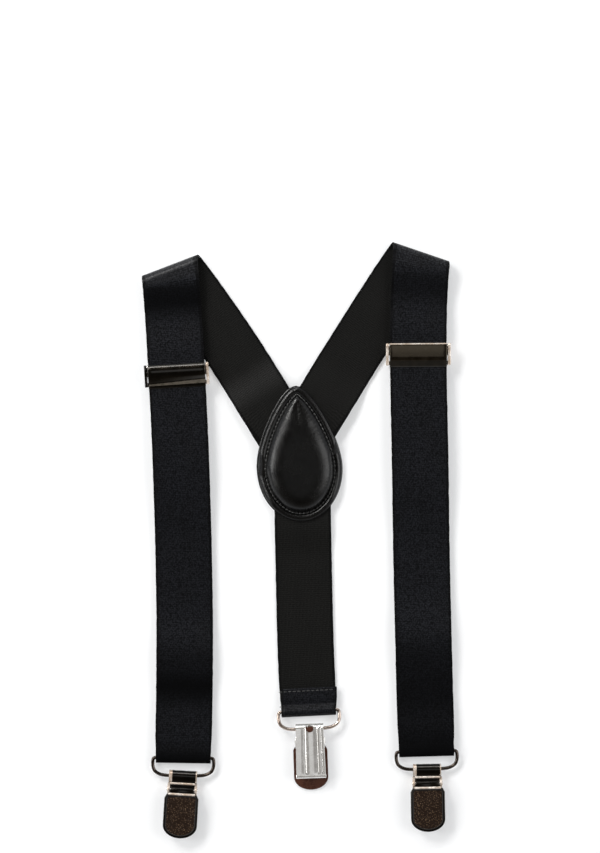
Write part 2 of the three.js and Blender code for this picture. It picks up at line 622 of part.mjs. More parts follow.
// ---- adjusters ----
const WALL_INSIDE = WEBBING_WIDTH / 2 + WALL_GAP;
const WALL_OUTSIDE = WALL_INSIDE + ADJUSTER_SHEET;
const COVER_PIN_Y = ADJUSTER_LENGTH / 2 - 0.7;
const COVER_KNUCKLE = 1.0;
const STRAP_TOP = LIFTED_HEIGHT + HALF_WEB;
const COVER_PIN_Z = STRAP_TOP + LAYER_GAP + COVER_KNUCKLE;
const BAR_LOW = WEBBING_THICKNESS + BAR_PLAY;
const BAR_TOP = BAR_LOW + ADJUSTER_SHEET;
const SEWN_END_Y = -ADJUSTER_LENGTH / 2 + STRAP_BAR - 0.3;

// Two side walls, the plate that the strap is pressed against, and the bar for its sewn end.
function adjusterFrame() {
  const end = ADJUSTER_LENGTH / 2;
  const anvilTop = LIFTED_HEIGHT - HALF_WEB - LAYER_GAP;
  const wall = [[-end, BAR_LOW], [end, BAR_LOW], [end, COVER_PIN_Z],
    ...arc(COVER_PIN_Y, COVER_PIN_Z, COVER_KNUCKLE, 45, 135, 4),
    [COVER_PIN_Y - 2, COVER_PIN_Z - 0.8], [-end, BAR_TOP + 1.2]];
  const walls = [-1, 1].map((side) => sidePlate(wall,
    side > 0 ? WALL_INSIDE : -WALL_OUTSIDE, side > 0 ? WALL_OUTSIDE : -WALL_INSIDE));
  const anvilStart = SEWN_END_Y + END_RADIUS + HALF_WEB + ANVIL_CLEARANCE;
  const rooted = WALL_INSIDE + 0.2;
  const anvil = box(-rooted, rooted, anvilStart, end, anvilTop - ADJUSTER_SHEET, anvilTop);
  const bar = box(-rooted, rooted, -end, -end + STRAP_BAR, BAR_LOW, BAR_TOP);
  const bore = rod(PIN_BORE, -WALL_OUTSIDE - 1, WALL_OUTSIDE + 1,
    COVER_PIN_Y, COVER_PIN_Z);
  return toGeometry(join([...walls, anvil, bar]).subtract(toSolid(bore)));
}

// Curved cover that flips on the pin and bites the strap; its origin is at the pin.
function adjusterCover() {
  const half = WALL_INSIDE - COVER_GAP;
  const free = -COVER_DROP;
  const top = COVER_KNUCKLE;
  const side = [...arc(0, 0, top, -90, 90, 8), [-2.2, top - 0.1], [-5.6, top - 0.5],
    [-8.6, top - 1.0], [free, top - 1.5], [free + 0.4, top - 1.5 - COVER_SHEET * 0.3],
    [-8.3, top - 1.0 - COVER_SHEET], [-5.4, top - 0.5 - COVER_SHEET],
    [-2.6, top - 0.1 - COVER_SHEET], [-2.1, -top + 0.1], [-1.4, -top + 0.1]];
  const plate = sidePlate(side.reverse(), -half, half);
  const bore = rod(PIN_BORE, -half - 1, half + 1, 0, 0);
  return toGeometry(toSolid(plate).subtract(toSolid(bore)));
}

function coverPin() {
  return rod(LEVER_PIN_RADIUS, -WALL_OUTSIDE - 0.1, WALL_OUTSIDE + 0.1, 0, 0);
}

// The strap's sewn end: along the floor, up through the frame, and back over the bar.
function strapEnd() {
  const centre = new THREE.Vector3(0, SEWN_END_Y, HALF_WEB + END_RADIUS);
  const upward = new THREE.Vector3(0, 1, 0);
  const upperEnd = new THREE.Vector3(0, -END_TAB, HALF_WEB + 2 * END_RADIUS);
  const across = new THREE.Vector3(1, 0, 0);
  const half = TURN_WIDTH / 2;
  const rows = [
    row(new THREE.Vector3(0, -END_TAB - END_LAP, HALF_WEB), across, half, UP),
    ...turnRows(centre, upward, across, END_RADIUS, false, half),
    row(upperEnd, across, half, UP.clone().negate()),
  ];
  return ribbon(rows);
}

function addAdjuster(name, strap, drop) {
  const t = parameterAt(strap.curve, strap.clearY - drop);
  const travel = strap.curve.getTangent(t);
  const group = new THREE.Group();
  group.position.copy(strap.curve.getPoint(t));
  group.rotation.z = Math.atan2(travel.x, -travel.y);
  assembly.add(group);
  addMesh(group, `${name}_adjuster_frame`, adjusterFrame(), NICKEL);
  addMesh(group, `${name}_adjuster_cover`, adjusterCover(), DARK_NICKEL)
    .position.set(0, COVER_PIN_Y, COVER_PIN_Z);
  addMesh(group, `${name}_adjuster_pin`, coverPin(), NICKEL)
    .position.set(0, COVER_PIN_Y, COVER_PIN_Z);
  addMesh(group, `${name}_strap_end`, strapEnd(), WEBBING);
  return group;
}

// ---- the whole object ----
addPatch();
const left = addShoulderStrap(
  'left', -1, SHOULDER_LEFT, BACK_ANGLE_LEFT, BACK_ROUTE_LEFT, FRONT_ROUTE_LEFT);
const right = addShoulderStrap(
  'right', 1, SHOULDER_RIGHT, BACK_ANGLE_RIGHT, BACK_ROUTE_RIGHT, FRONT_ROUTE_RIGHT);
const centre = addCentreStrap();
addClip('left', left.bar, left.travel, false);
addClip('right', right.bar, right.travel, false);
addClip('centre', centre.bar, centre.travel, true);
addReturn('left', left, addAdjuster('left', left, ADJUSTER_LEFT_DROP));
addReturn('right', right, addAdjuster('right', right, ADJUSTER_RIGHT_DROP));

// The origin is under the middle of the object's box, on the surface it lies on.
assembly.updateMatrixWorld(true);
const extent = new THREE.Box3().setFromObject(assembly, true);
assembly.position.set(
  -(extent.min.x + extent.max.x) / 2, -(extent.min.y + extent.max.y) / 2, -extent.min.z);
assembly.updateMatrixWorld(true);

export default assembly;
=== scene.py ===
import json
import math

import bmesh
import bpy
from mathutils import Matrix, Vector
from mathutils.geometry import interpolate_bezier
from mathutils.noise import noise
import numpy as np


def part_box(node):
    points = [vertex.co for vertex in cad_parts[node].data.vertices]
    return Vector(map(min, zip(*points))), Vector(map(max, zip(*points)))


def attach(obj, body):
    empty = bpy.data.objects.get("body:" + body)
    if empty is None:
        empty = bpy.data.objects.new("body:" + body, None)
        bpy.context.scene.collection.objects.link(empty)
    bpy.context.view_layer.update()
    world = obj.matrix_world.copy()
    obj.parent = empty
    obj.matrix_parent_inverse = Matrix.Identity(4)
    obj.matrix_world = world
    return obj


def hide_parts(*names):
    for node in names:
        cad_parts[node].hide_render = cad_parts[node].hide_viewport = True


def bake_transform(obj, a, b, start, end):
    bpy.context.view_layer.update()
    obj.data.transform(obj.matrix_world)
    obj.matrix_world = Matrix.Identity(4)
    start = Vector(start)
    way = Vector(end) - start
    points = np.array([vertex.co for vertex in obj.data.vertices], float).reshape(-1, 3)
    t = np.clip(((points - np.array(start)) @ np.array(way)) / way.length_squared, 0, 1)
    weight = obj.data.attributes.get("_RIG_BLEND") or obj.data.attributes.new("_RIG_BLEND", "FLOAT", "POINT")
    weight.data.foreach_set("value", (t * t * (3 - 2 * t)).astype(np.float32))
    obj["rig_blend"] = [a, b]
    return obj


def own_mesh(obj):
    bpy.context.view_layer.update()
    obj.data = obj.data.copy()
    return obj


# Y-back dress suspenders laid flat on a pale table: black elastic webbing, a padded leather
# teardrop, two flip-lock adjusters and three lever clips on wire loops.
# Shapes are worked out in millimetres and brought to metres by the placing matrices.
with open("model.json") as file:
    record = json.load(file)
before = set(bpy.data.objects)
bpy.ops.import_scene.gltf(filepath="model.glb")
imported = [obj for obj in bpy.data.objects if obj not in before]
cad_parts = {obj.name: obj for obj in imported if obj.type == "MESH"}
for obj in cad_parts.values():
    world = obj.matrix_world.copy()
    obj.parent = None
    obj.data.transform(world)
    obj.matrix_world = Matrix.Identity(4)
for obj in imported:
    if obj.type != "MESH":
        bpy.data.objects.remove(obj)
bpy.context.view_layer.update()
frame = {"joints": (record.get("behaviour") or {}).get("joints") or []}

MM = 0.001
JOINTS = {j["name"]: j for j in frame["joints"]}
UP = Vector((0, 0, 1))

# ---- webbing, as the design has it ----
WEB_WIDTH = 24.8
WEB_THICK = 1.3
HALF_WEB = WEB_THICK / 2
TURN_WIDTH = 24.0
LAYER_GAP = 0.3
TURN_RADIUS = 1.65
BAR_HEIGHT = HALF_WEB + TURN_RADIUS
UPPER_LAYER = HALF_WEB + WEB_THICK + LAYER_GAP
LIFTED_HEIGHT = 4.65
PATCH_LAYER_LOW = 1.85
PATCH_LAYER_HIGH = 3.45
FOLD_RADIUS = 2.6
CARRIED_LENGTH = 9
HEM_LENGTH = 12.5
END_TAB = 11
END_TURN_RADIUS = 1.2
# how far above its wire a front strap starts to follow its clip
FOLLOWING_LENGTH = 84
SELVEDGE_ROUND = 0.42
# half lengths of the rows of stitches, and the space from one stitch to the next
END_ROW_HALF = 10.8
HEM_ROW_HALF = 11.1
ROW_PITCH = 2.1
SHOULDER = {"left": (-57.1, 120.4), "right": (52.8, 126.3)}
BACK_ANGLE = {"left": 38, "right": 35.5}
BACK_ROUTE = {"left": [(-30.5, 84), (-4.2, 41.9)], "right": [(21.3, 78.7), (2, 47.1)]}
FRONT_ROUTE = {
    "left": [(-54.9, 85), (-52.5, 38), (-50.9, -26), (-50.8, -55), (-51.4, -95.8)],
    "right": [(51.6, 92), (52.3, 40), (53.3, -16), (54.4, -62), (55.3, -92.9)],
}
CENTRE_ROUTE = [(0.6, 40), (1.1, 5), (2.0, -37), (2.6, -55), (3.6, -75.2)]
MEETING_LINE_X = -1.8
# how high the front straps' middle lies below the adjusters, where they swell: y and height
SWELLS = {
    "left": [(-33, 2.3), (-53, 3.6), (-71, 2.3), (-84, 2.9), (-90, 2.9)],
    "right": [(-24, 2.3), (-44, 3.6), (-68, 2.3), (-84, 2.8), (-88, 2.8)],
}
# painted light and shade along the straps: y and the share of sheen kept there; below 1 the webbing is
# darkened as painted shade, above 1 it stands in a glossy roll as a painted highlight
PAINTED_LIGHT_ALONG_STRAPS = {
    "left": [(115, 1.5), (109.5, 0.15), (104, 0.1), (94, 0.85), (-15, 0.7), (-40, 0.9),
             (-55, 0.4), (-64, 0.0), (-78, 0.7), (-86, 0.8), (-96, 0.0)],
    "right": [(121, 1.3), (115, 0.5), (109, 0.45), (100, 0.85), (0, 0.8), (-38, 0.95),
              (-52, 0.4), (-68, 0.2), (-80, 0.4), (-93, 0.0)],
}

# ---- back patch ----
PATCH_LENGTH = 58.7
PATCH_HALF = 18.4
PATCH_WIDEST = 23
PATCH_TILT = 2.6
PATCH_BASE = (0.9, 8.3)
STITCH_INSET = 3.2
STITCH_PITCH = 2.0

# ---- clips ----
WIRE = 0.75
LOOP_DROP = 7.8
LOOP_HALF = 13.3
BARREL_HALF = 6.1
BARREL_BORE = 1.5
BARREL_WALL = 0.8
BARREL_RADIUS = BARREL_BORE + BARREL_WALL
BODY_LENGTH = 20.4
NOTCH_Y, NOTCH_RADIUS = 0.3, 1.75
# pressed lines along the plate: middle x, width and depth
PLATE_LINES = ((-5.1, 0.3, 0.14), (-3.45, 0.3, 0.14), (1.55, 0.5, 0.21), (3.4, 0.22, 0.08))
SHEET = 0.7
PLATE_LOW = -BARREL_RADIUS
PLATE_WEB = PLATE_LOW + 0.5
PIN_Y, PIN_Z, PIN_RADIUS = -6.0, 1.9, 0.45
JAW_Y, JAW_Z = -4.6, 0.05
LEVER_HALF = 5.1
TONGUE_HALF = 7.5
TONGUE_TOP, TONGUE_TIP = -7.9, -27.1
TONGUE_Z = 3.0
TONGUE_SHEET = 0.8

# ---- adjusters ----
ADJUSTER_HALF = 4.6
WALL_INSIDE = 12.75
COVER_PIN_Y, COVER_PIN_Z = 3.9, 6.6

# the design's own frame has its origin elsewhere, so one known point gives the shift
bar_left = Vector(JOINTS["left_loop_swing"]["pos_m"])
SHIFT = bar_left - Vector((*FRONT_ROUTE["left"][-1], BAR_HEIGHT)) * MM
TO_FRAME = Matrix.Translation(SHIFT) @ Matrix.Scale(MM, 4)


# ======== camera, lights, table ========
CAMERA_HEIGHT = 1.25
SEEN_LENGTH = 0.3741
SENSOR = 36
LOOKED_AT = (-0.2, 49.6, 3)

# the room's tones, from its walls low down to the bright patch straight overhead
ROOM_TONES = (
    (0.30, (0.86, 0.88, 0.92)), (0.62, (0.30, 0.28, 0.25)), (0.74, (0.085, 0.07, 0.055)),
    (0.984, (0.05, 0.042, 0.034)), (0.993, (0.62, 0.62, 0.62)),
)
WHITE = (1, 1, 1)
WARM_WHITE = (1, 0.99, 0.97)
# for each lamp: its place, its width and depth in metres, its watts and its colour
LAMPS = {
    "key": ((-0.70, 0.76, 0.91), 0.42, 0.42, 10.5, WARM_WHITE),
    "fill_right": ((0.85, 0.1, 0.85), 0.7, 0.7, 5.5, WHITE),
    "side_left": ((-1.0, 0.12, 0.8), 0.42, 0.42, 5.5, WHITE),
    "strip_far": ((-0.25, 1.0, 0.8), 0.9, 0.15, 4.0, WHITE),
}
TABLE_REACH = 3
TABLE_GAP = 0.0001


def set_camera():
    """Straight above, as the suspenders were laid out."""
    data = bpy.data.cameras.new("camera")
    data.sensor_width = SENSOR
    data.lens = SENSOR * CAMERA_HEIGHT / SEEN_LENGTH
    camera = bpy.data.objects.new("camera", data)
    camera.location = SHIFT + Vector(LOOKED_AT) * MM + UP * CAMERA_HEIGHT
    bpy.context.scene.collection.objects.link(camera)
    bpy.context.scene.camera = camera


def area_light(name, place, width, depth, power, colour):
    """A lamp that faces the frame's origin."""
    data = bpy.data.lights.new(name, "AREA")
    data.shape = "RECTANGLE"
    data.size = width
    data.size_y = depth
    data.energy = power
    data.color = colour
    lamp = bpy.data.objects.new(name, data)
    lamp.location = place
    lamp.rotation_euler = (-Vector(place)).to_track_quat("-Z", "Y").to_euler()
    bpy.context.scene.collection.objects.link(lamp)


def set_light():
    """A small bright patch overhead, a dark warm ring round it, and pale walls low down."""
    world = bpy.data.worlds.new("studio")
    world.use_nodes = True
    bpy.context.scene.world = world
    tree = world.node_tree
    coords = tree.nodes.new("ShaderNodeTexCoord")
    parts = tree.nodes.new("ShaderNodeSeparateXYZ")
    ramp = tree.nodes.new("ShaderNodeValToRGB")
    tree.links.new(coords.outputs["Generated"], parts.inputs[0])
    tree.links.new(parts.outputs["Z"], ramp.inputs[0])
    stops = ramp.color_ramp.elements
    for stop, (height, tone) in zip(list(stops), ROOM_TONES):
        stop.position = height
        stop.color = (*tone, 1)
    for height, tone in ROOM_TONES[2:]:
        stops.new(height).color = (*tone, 1)
    tree.links.new(ramp.outputs[0], tree.nodes["Background"].inputs["Color"])
    tree.nodes["Background"].inputs["Strength"].default_value = 1.0
    for name, (place, width, depth, power, colour) in LAMPS.items():
        area_light(name, place, width, depth, power, colour)
    bpy.context.scene.view_settings.view_transform = "Standard"


def lay_table():
    bm = bmesh.new()
    bmesh.ops.create_grid(bm, x_segments=1, y_segments=1, size=TABLE_REACH)
    table = finish_piece("table", bm, [table_finish()])
    table.location.z = -TABLE_GAP


# ======== shader maths ========
class Socket:
    """A node socket that adds its Math nodes from Python expressions."""

    def __init__(self, finish, link):
        self.finish = finish
        self.link = link

    def _math(self, operation, *values):
        return self.finish.node("Math", {"operation": operation}, *values)

    def __add__(self, other):
        return self._math("ADD", self, other)

    def __sub__(self, other):
        return self._math("SUBTRACT", self, other)

    def __rsub__(self, other):
        return self._math("SUBTRACT", other, self)

    def __mul__(self, other):
        return self._math("MULTIPLY", self, other)

    def __abs__(self):
        return self._math("ABSOLUTE", self)

    __radd__ = __add__
    __rmul__ = __mul__


class Finish:
    """One material under construction."""

    def __init__(self, name, **settings):
        self.material = bpy.data.materials.new(name)
        self.material.use_nodes = True
        self.tree = self.material.node_tree
        self.shader = self.tree.nodes["Principled BSDF"]
        for socket, value in settings.items():
            self.shader.inputs[socket.replace("_", " ")].default_value = value

    def _fill(self, socket, value):
        if isinstance(value, Socket):
            self.tree.links.new(value.link, socket)
        else:
            socket.default_value = value

    def node(self, kind, settings, *values, output=0, **named):
        """A node of this kind: its settings first, then its sockets by order or by name."""
        made = self.tree.nodes.new("ShaderNode" + kind)
        for key, value in settings.items():
            setattr(made, key, value)
        sockets = [s for s in made.inputs if s.enabled]
        for socket, value in zip(sockets, values):
            self._fill(socket, value)
        for key, value in named.items():
            self._fill(next(s for s in sockets if s.name == key.replace("_", " ")), value)
        shown = [s for s in made.outputs if s.enabled]
        found = shown[output] if isinstance(output, int) else made.outputs[output]
        return Socket(self, found)

    def place(self, scale=(1, 1, 1), turn=(0, 0, 0)):
        """Object coordinates in millimetres."""
        coords = self.node("TexCoord", {}, output="Object")
        size = [s / MM for s in scale]
        return self.node("Mapping", {}, Vector=coords, Scale=size, Rotation=turn)

    def cloth(self, scale=(1, 1)):
        """The piece's own map, in millimetres across and along the webbing."""
        coords = self.node("UVMap", {"uv_map": "webbing"})
        return self.node("Mapping", {}, Vector=coords, Scale=(*scale, 1))

    def split(self, vector):
        parts = self.node("SeparateXYZ", {}, vector)
        return [Socket(self, s) for s in parts.link.node.outputs]

    def noise(self, vector, scale, detail=2.0, rough=0.5):
        return self.node("TexNoise", {}, Vector=vector, Scale=scale, Detail=detail,
                         Roughness=rough)

    def cells(self, vector, scale, feature="F1", jitter=1.0):
        return self.node("TexVoronoi", {"feature": feature}, Vector=vector, Scale=scale,
                         Randomness=jitter, output="Distance")

    def cords(self, distance, pitch):
        """Even waves over a distance, one for each pitch."""
        return self.node("Math", {"operation": "SINE"}, distance * (2 * math.pi / pitch))

    def ramp(self, value, low, high, out_low=0.0, out_high=1.0):
        return self.node("MapRange", {"interpolation_type": "SMOOTHSTEP"}, value, low, high,
                         out_low, out_high)

    def mix(self, factor, one, other):
        return self.node("Mix", {"data_type": "RGBA"}, factor, rgb(one), rgb(other))

    def bump(self, height, strength, distance):
        return self.node("Bump", {}, Strength=strength, Distance=distance * MM,
                         Height=height)

    def set(self, **links):
        for socket, value in links.items():
            self._fill(self.shader.inputs[socket.replace("_", " ")], value)
        return self.material


def rgb(colour):
    return colour if isinstance(colour, Socket) else (*colour, 1)


# ======== finishes ========
def table_finish():
    """White acrylic lit a little from below, so that the shadows stay pale."""
    return Finish("white_table", Base_Color=(0.60, 0.605, 0.612, 1), Roughness=0.95,
                  Specular_IOR_Level=0.1, Emission_Color=(0.97, 0.985, 1, 1),
                  Emission_Strength=0.37).material


def webbing_finish(name, ground, lit, cooler, threads):
    """A woven face: dark ground, paler threads and darker selvedges, with painted shade and a painted sheen
    laid along the strap from a per-point share. threads gives the relief in millimetre coordinates."""
    f = Finish(name, Roughness=0.85, Specular_IOR_Level=0.05, Coat_Roughness=0.42,
               Coat_IOR=1.38)
    across, along, _ = f.split(f.cloth())
    nap = f.node("Attribute", {"attribute_name": "nap"}, output="Fac")
    relief, thread = threads(f, across, along)
    slow = f.noise(f.cloth((1, 0.4)), 0.11, 3)
    selvedge = f.ramp(abs(across), 11.0, 11.6)
    colour = f.mix(thread, ground, lit)
    colour = f.mix(f.ramp(slow, 0.35, 0.7) * 0.3, colour, cooler)
    # painted shade: the colour is darkened towards near-black where the per-point share is low
    colour = f.mix((1 - nap) * 0.9, colour, (0.0005, 0.0005, 0.0006))
    colour = f.mix(selvedge * 0.72, colour, (0.0012, 0.0012, 0.0013))
    # painted highlight: a share above 1 adds coat, a bright band in the shoulder fold's roll
    painted_roll_highlight = f.node("Math", {"operation": "MAXIMUM"}, nap - 1, 0.0)
    painted_sheen = (nap * (thread * 0.7 + 0.12) + painted_roll_highlight * 0.75) * (1 - selvedge * 0.6)
    edge_cords = f.cords(along, 1.05)
    bumps = relief * (1 - selvedge) + edge_cords * selvedge
    return f.set(Base_Color=colour, Coat_Weight=painted_sheen, Normal=f.bump(bumps, 0.5, 0.14))


def ribbed_face():
    """Side A: fine crosswise cords of warm black."""
    def threads(f, across, along):
        waver = f.noise(f.cloth((0.9, 0.25)), 1.0) * 1.1
        cords = f.cords(along + waver, 0.9)
        warp = f.cords(across, 0.62)
        fibres = f.noise(f.cloth((1, 1.6)), 1.5, 4, 0.65)
        relief = cords * 0.17 + warp * 0.2 + fibres * 1.9
        return relief, f.ramp(relief, 0.35, 1.75)
    return webbing_finish("webbing_ribbed_face", (0.0015, 0.0015, 0.0013),
                          (0.0088, 0.0088, 0.0080), (0.0013, 0.0013, 0.0012), threads)


def pebbled_face():
    """Side B: a cooler black with the rubber's small pebbles between the threads."""
    def threads(f, across, along):
        pebbles = f.cells(f.cloth((1, 0.85)), 1.75, feature="SMOOTH_F1", jitter=0.55)
        cords = f.cords(along, 0.8)
        fibres = f.noise(f.cloth(), 2.4, 3, 0.6)
        relief = (1 - pebbles) * 1.5 + cords * 0.1 + fibres * 0.8
        return relief, f.ramp(relief, 0.95, 1.75)
    return webbing_finish("webbing_pebbled_face", (0.0012, 0.0014, 0.0020),
                          (0.0080, 0.0090, 0.0128), (0.0012, 0.0012, 0.0016), threads)


def fibrous_finish(name, noise_scale, detail, share, dark, lit, bump, **settings):
    """Fine fibres in two tones. share is where the noise turns from dark to lit, and bump is
    the relief's strength and its depth in millimetres."""
    f = Finish(name, **settings)
    fibres = f.noise(f.place(), noise_scale, detail)
    colour = f.mix(f.ramp(fibres, *share), dark, lit)
    return f.set(Base_Color=colour, Normal=f.bump(fibres, *bump))


def webbing_edge():
    """The webbing's cut and woven edge."""
    return fibrous_finish("webbing_edge", 2.4, 3, (0.35, 0.7), (0.001, 0.001, 0.0011),
                          (0.007, 0.007, 0.0075), (0.6, 0.2), Roughness=0.85,
                          Specular_IOR_Level=0.1)


def waxed_thread():
    return fibrous_finish("waxed_thread", 3.0, 2, (0.4, 0.65), (0.012, 0.012, 0.012),
                          (0.055, 0.055, 0.053), (0.4, 0.1), Roughness=0.32)


def leather_rim():
    """The leathers' cut edges."""
    return fibrous_finish("leather_rim", 2.2, 3, (0.35, 0.7), (0.003, 0.003, 0.003),
                          (0.016, 0.016, 0.0155), (0.4, 0.12), Roughness=0.32,
                          Specular_IOR_Level=0.5)


def patch_leather():
    """Smooth black leather with a fine grain, its gloss a little cloudy."""
    f = Finish("patch_leather", Specular_IOR_Level=0.34)
    where = f.place()
    grain = f.cells(where, 1.5, feature="DISTANCE_TO_EDGE")
    pores = f.noise(where, 3.0, 3)
    creases = f.noise(f.place((1, 0.4, 1), (0, 0, 0.5)), 0.5, 4, 0.6)
    cloudy = f.noise(where, 0.12, 2)
    height = f.ramp(grain, 0.0, 0.16) * 0.6 + pores * 0.5 + creases * 0.8
    colour = f.mix(f.ramp(cloudy, 0.35, 0.65), (0.0005, 0.0005, 0.0005), (0.0013, 0.0013, 0.0012))
    colour = f.mix(f.ramp(pores, 0.5, 0.72) * 0.4, colour, (0.003, 0.003, 0.0028))
    rough = f.ramp(cloudy + pores * 0.4, 0.4, 0.95, 0.2, 0.29)
    return f.set(Base_Color=colour, Roughness=rough, Normal=f.bump(height, 0.3, 0.08))


def metal_finish(name, low, high, spot, rough_from, rough_to, grain, settings):
    """Plated sheet: faint long scratches, soft clouds and small spots."""
    f = Finish(name, **{"Metallic": 1.0, **settings})
    where = f.place()
    clouds = f.noise(where, 0.35, 3)
    scratches = f.noise(f.place((0.25, 3.2, 1)), 1.2, 4, 0.7)
    spots = f.cells(where, 0.8)
    colour = f.mix(f.ramp(clouds, 0.35, 0.7), low, high)
    colour = f.mix(f.ramp(spots, 0.13, 0.04) * 0.4, colour, spot)
    rough = f.ramp(clouds + scratches * 0.6, 0.5, 1.1, rough_from, rough_to)
    return f.set(Base_Color=colour, Roughness=rough, Normal=f.bump(scratches, grain, 0.03))


# for each plating: its name, its two tones and its spots, roughness from and to, the scratches'
# relief, and what else its shader is set to
METALS = {
    "nickel": ("bright_nickel", (0.78, 0.765, 0.74), (0.93, 0.92, 0.90), (0.55, 0.48, 0.42),
               0.11, 0.2, 0.08, {"Metallic": 0.74}),
    # red-brown back of the centre tongue, and the dark sheet set in the centre clip's notch as painted shade
    # of the hollow there
    "smoked": ("smoked_nickel", (0.075, 0.026, 0.015), (0.098, 0.036, 0.021), (0.20, 0.09, 0.06),
               0.22, 0.36, 0.12, {"Metallic": 0.4}),
    # black-brown plating of the two front wire loops
    "wire": ("dark_wire", (0.050, 0.040, 0.033), (0.095, 0.078, 0.066), (0.3, 0.25, 0.2),
             0.10, 0.18, 0.12, {}),
    # near-black gloss of the left cover, the front clips' plates and the tongues' rims
    "black": ("black_nickel", (0.013, 0.011, 0.008), (0.022, 0.018, 0.013),
              (0.09, 0.075, 0.055), 0.16, 0.26, 0.12,
              {"Coat_Weight": 0.8, "Coat_Roughness": 0.12}),
    # the right cover's browner plate, a little specked: a lighter copy of the covers' black plating, painted
    # to stand for its brighter reflection
    "olive": ("olive_nickel", (0.080, 0.066, 0.048), (0.102, 0.086, 0.064), (0.40, 0.33, 0.24),
              0.13, 0.22, 0.12, {}),
    # the left cover's lower band: a paler olive painted on to stand for the reflection across it, a painted
    # reflection
    "painted_reflection_band": ("dull_olive", (0.075, 0.066, 0.052), (0.115, 0.10, 0.08), (0.20, 0.16, 0.11),
             0.25, 0.35, 0.05, {"Metallic": 0.3}),
    # warm pale plating of the posts, ears and rolled edges, worn nearly matt; on the clips it also makes the
    # barrel's pale ends and the pale rods that stand for bright lines, painted highlights
    "cream": ("cream_nickel", (0.58, 0.46, 0.36), (0.94, 0.86, 0.78), (0.30, 0.20, 0.14),
              0.2, 0.3, 0.05, {"Metallic": 0.45}),
    # the centre loop's warmer, darker nickel
    "loop": ("loop_nickel", (0.40, 0.32, 0.27), (0.66, 0.57, 0.51), (0.2, 0.14, 0.11),
             0.1, 0.2, 0.12, {"Metallic": 0.88}),
}


def pebbled_tongue():
    """Tongue face with its pressed pebbles, brown-black, with painted glints on the pebbles' tops."""
    f = Finish("pebbled_tongue", Metallic=0.1, Specular_IOR_Level=0.14)
    where = f.place()
    pebbles = f.cells(where, 1.75, feature="SMOOTH_F1")
    small = f.noise(where, 2.2, 3)
    glint_noise = f.noise(where, 0.3, 3)
    height = (1 - pebbles) * 1.0 + small * 0.35
    # painted glints: the pebbles' highest tops are coloured pale
    painted_glints = f.ramp(height + glint_noise * 0.25, 0.92, 1.28)
    colour = f.mix(painted_glints * 0.9, (0.0125, 0.0058, 0.0028), (0.165, 0.105, 0.060))
    rough = f.ramp(small, 0.3, 0.7, 0.36, 0.55)
    return f.set(Base_Color=colour, Roughness=rough, Normal=f.bump(height, 1.0, 0.28))


FINISHES = {
    "ribbed": ribbed_face(), "pebbled": pebbled_face(), "edge": webbing_edge(),
    "thread": waxed_thread(), "leather": patch_leather(), "rim": leather_rim(),
    **{key: metal_finish(*looks) for key, looks in METALS.items()},
    "tongue": pebbled_tongue(),
}


# ======== mesh helpers ========
def finish_piece(name, bm, materials, smooth=None):
    """Turns a bmesh into an object at the origin. smooth is the sharpest angle shaded round."""
    mesh = bpy.data.meshes.new(name)
    bm.to_mesh(mesh)
    bm.free()
    for material in materials:
        mesh.materials.append(material)
    piece = bpy.data.objects.new(name, mesh)
    bpy.context.scene.collection.objects.link(piece)
    if smooth is not None:
        mesh.shade_smooth()
        mesh.set_sharp_from_angle(angle=math.radians(smooth))
    return piece


def add_thickness(piece, thickness, offset, rim):
    """Gives a sheet its thickness. rim is how many finishes further on its edges' one is."""
    wall = piece.modifiers.new("thickness", "SOLIDIFY")
    wall.thickness = thickness * MM
    wall.offset = offset
    wall.material_offset_rim = rim
    return wall


def add_rounding(piece, name, width, segments):
    rounded = piece.modifiers.new(name, "BEVEL")
    rounded.width = width * MM
    rounded.segments = segments
    rounded.limit_method = "ANGLE"
    rounded.angle_limit = math.radians(50)


def round_edges(bm, edges, width, segments):
    bmesh.ops.bevel(bm, geom=edges, offset=width, offset_type="OFFSET", affect="EDGES",
                    segments=segments, profile=0.5, material=-1, clamp_overlap=True)


def soften(bm, width, segments=2, sharpest=28):
    """Rounds the sharp edges of a closed shape."""
    least = math.radians(sharpest)
    edges = [e for e in bm.edges if e.is_manifold and e.calc_face_angle() > least]
    round_edges(bm, edges, width, segments)


def drawn_out(bm, outline, way):
    """A closed solid: the outline's face pushed along way."""
    face = bm.faces.new([bm.verts.new(p) for p in outline])
    made = bmesh.ops.extrude_face_region(bm, geom=[face])
    moved = [v for v in made["geom"] if isinstance(v, bmesh.types.BMVert)]
    bmesh.ops.translate(bm, vec=way, verts=moved)


def side_view(bm, outline, x0, x1):
    """A solid from a side view of (y, z) points, between two x values."""
    drawn_out(bm, [(x0, y, z) for y, z in outline], (x1 - x0, 0, 0))


def end_view(bm, outline, y0, y1):
    """A solid from an end view of (x, z) points, between two y values."""
    drawn_out(bm, [(x, y0, z) for x, z in outline], (0, y1 - y0, 0))


def block(bm, x0, x1, y0, y1, z0, z1):
    made = bmesh.ops.create_cube(bm, size=1)["verts"]
    bmesh.ops.scale(bm, vec=(x1 - x0, y1 - y0, z1 - z0), verts=made)
    middle = ((x0 + x1) / 2, (y0 + y1) / 2, (z0 + z1) / 2)
    bmesh.ops.translate(bm, vec=middle, verts=made)


def rod(bm, radius, x0, x1, y, z, sides=28):
    turned = Matrix.Translation(((x0 + x1) / 2, y, z)) @ Matrix.Rotation(math.pi / 2, 4, "Y")
    bmesh.ops.create_cone(bm, cap_ends=True, segments=sides, radius1=radius, radius2=radius,
                          depth=x1 - x0, matrix=turned)


def arc(y, z, radius, start, end, steps):
    turns = [math.radians(start + (end - start) * i / steps) for i in range(steps + 1)]
    return [(y + radius * math.cos(a), z + radius * math.sin(a)) for a in turns]


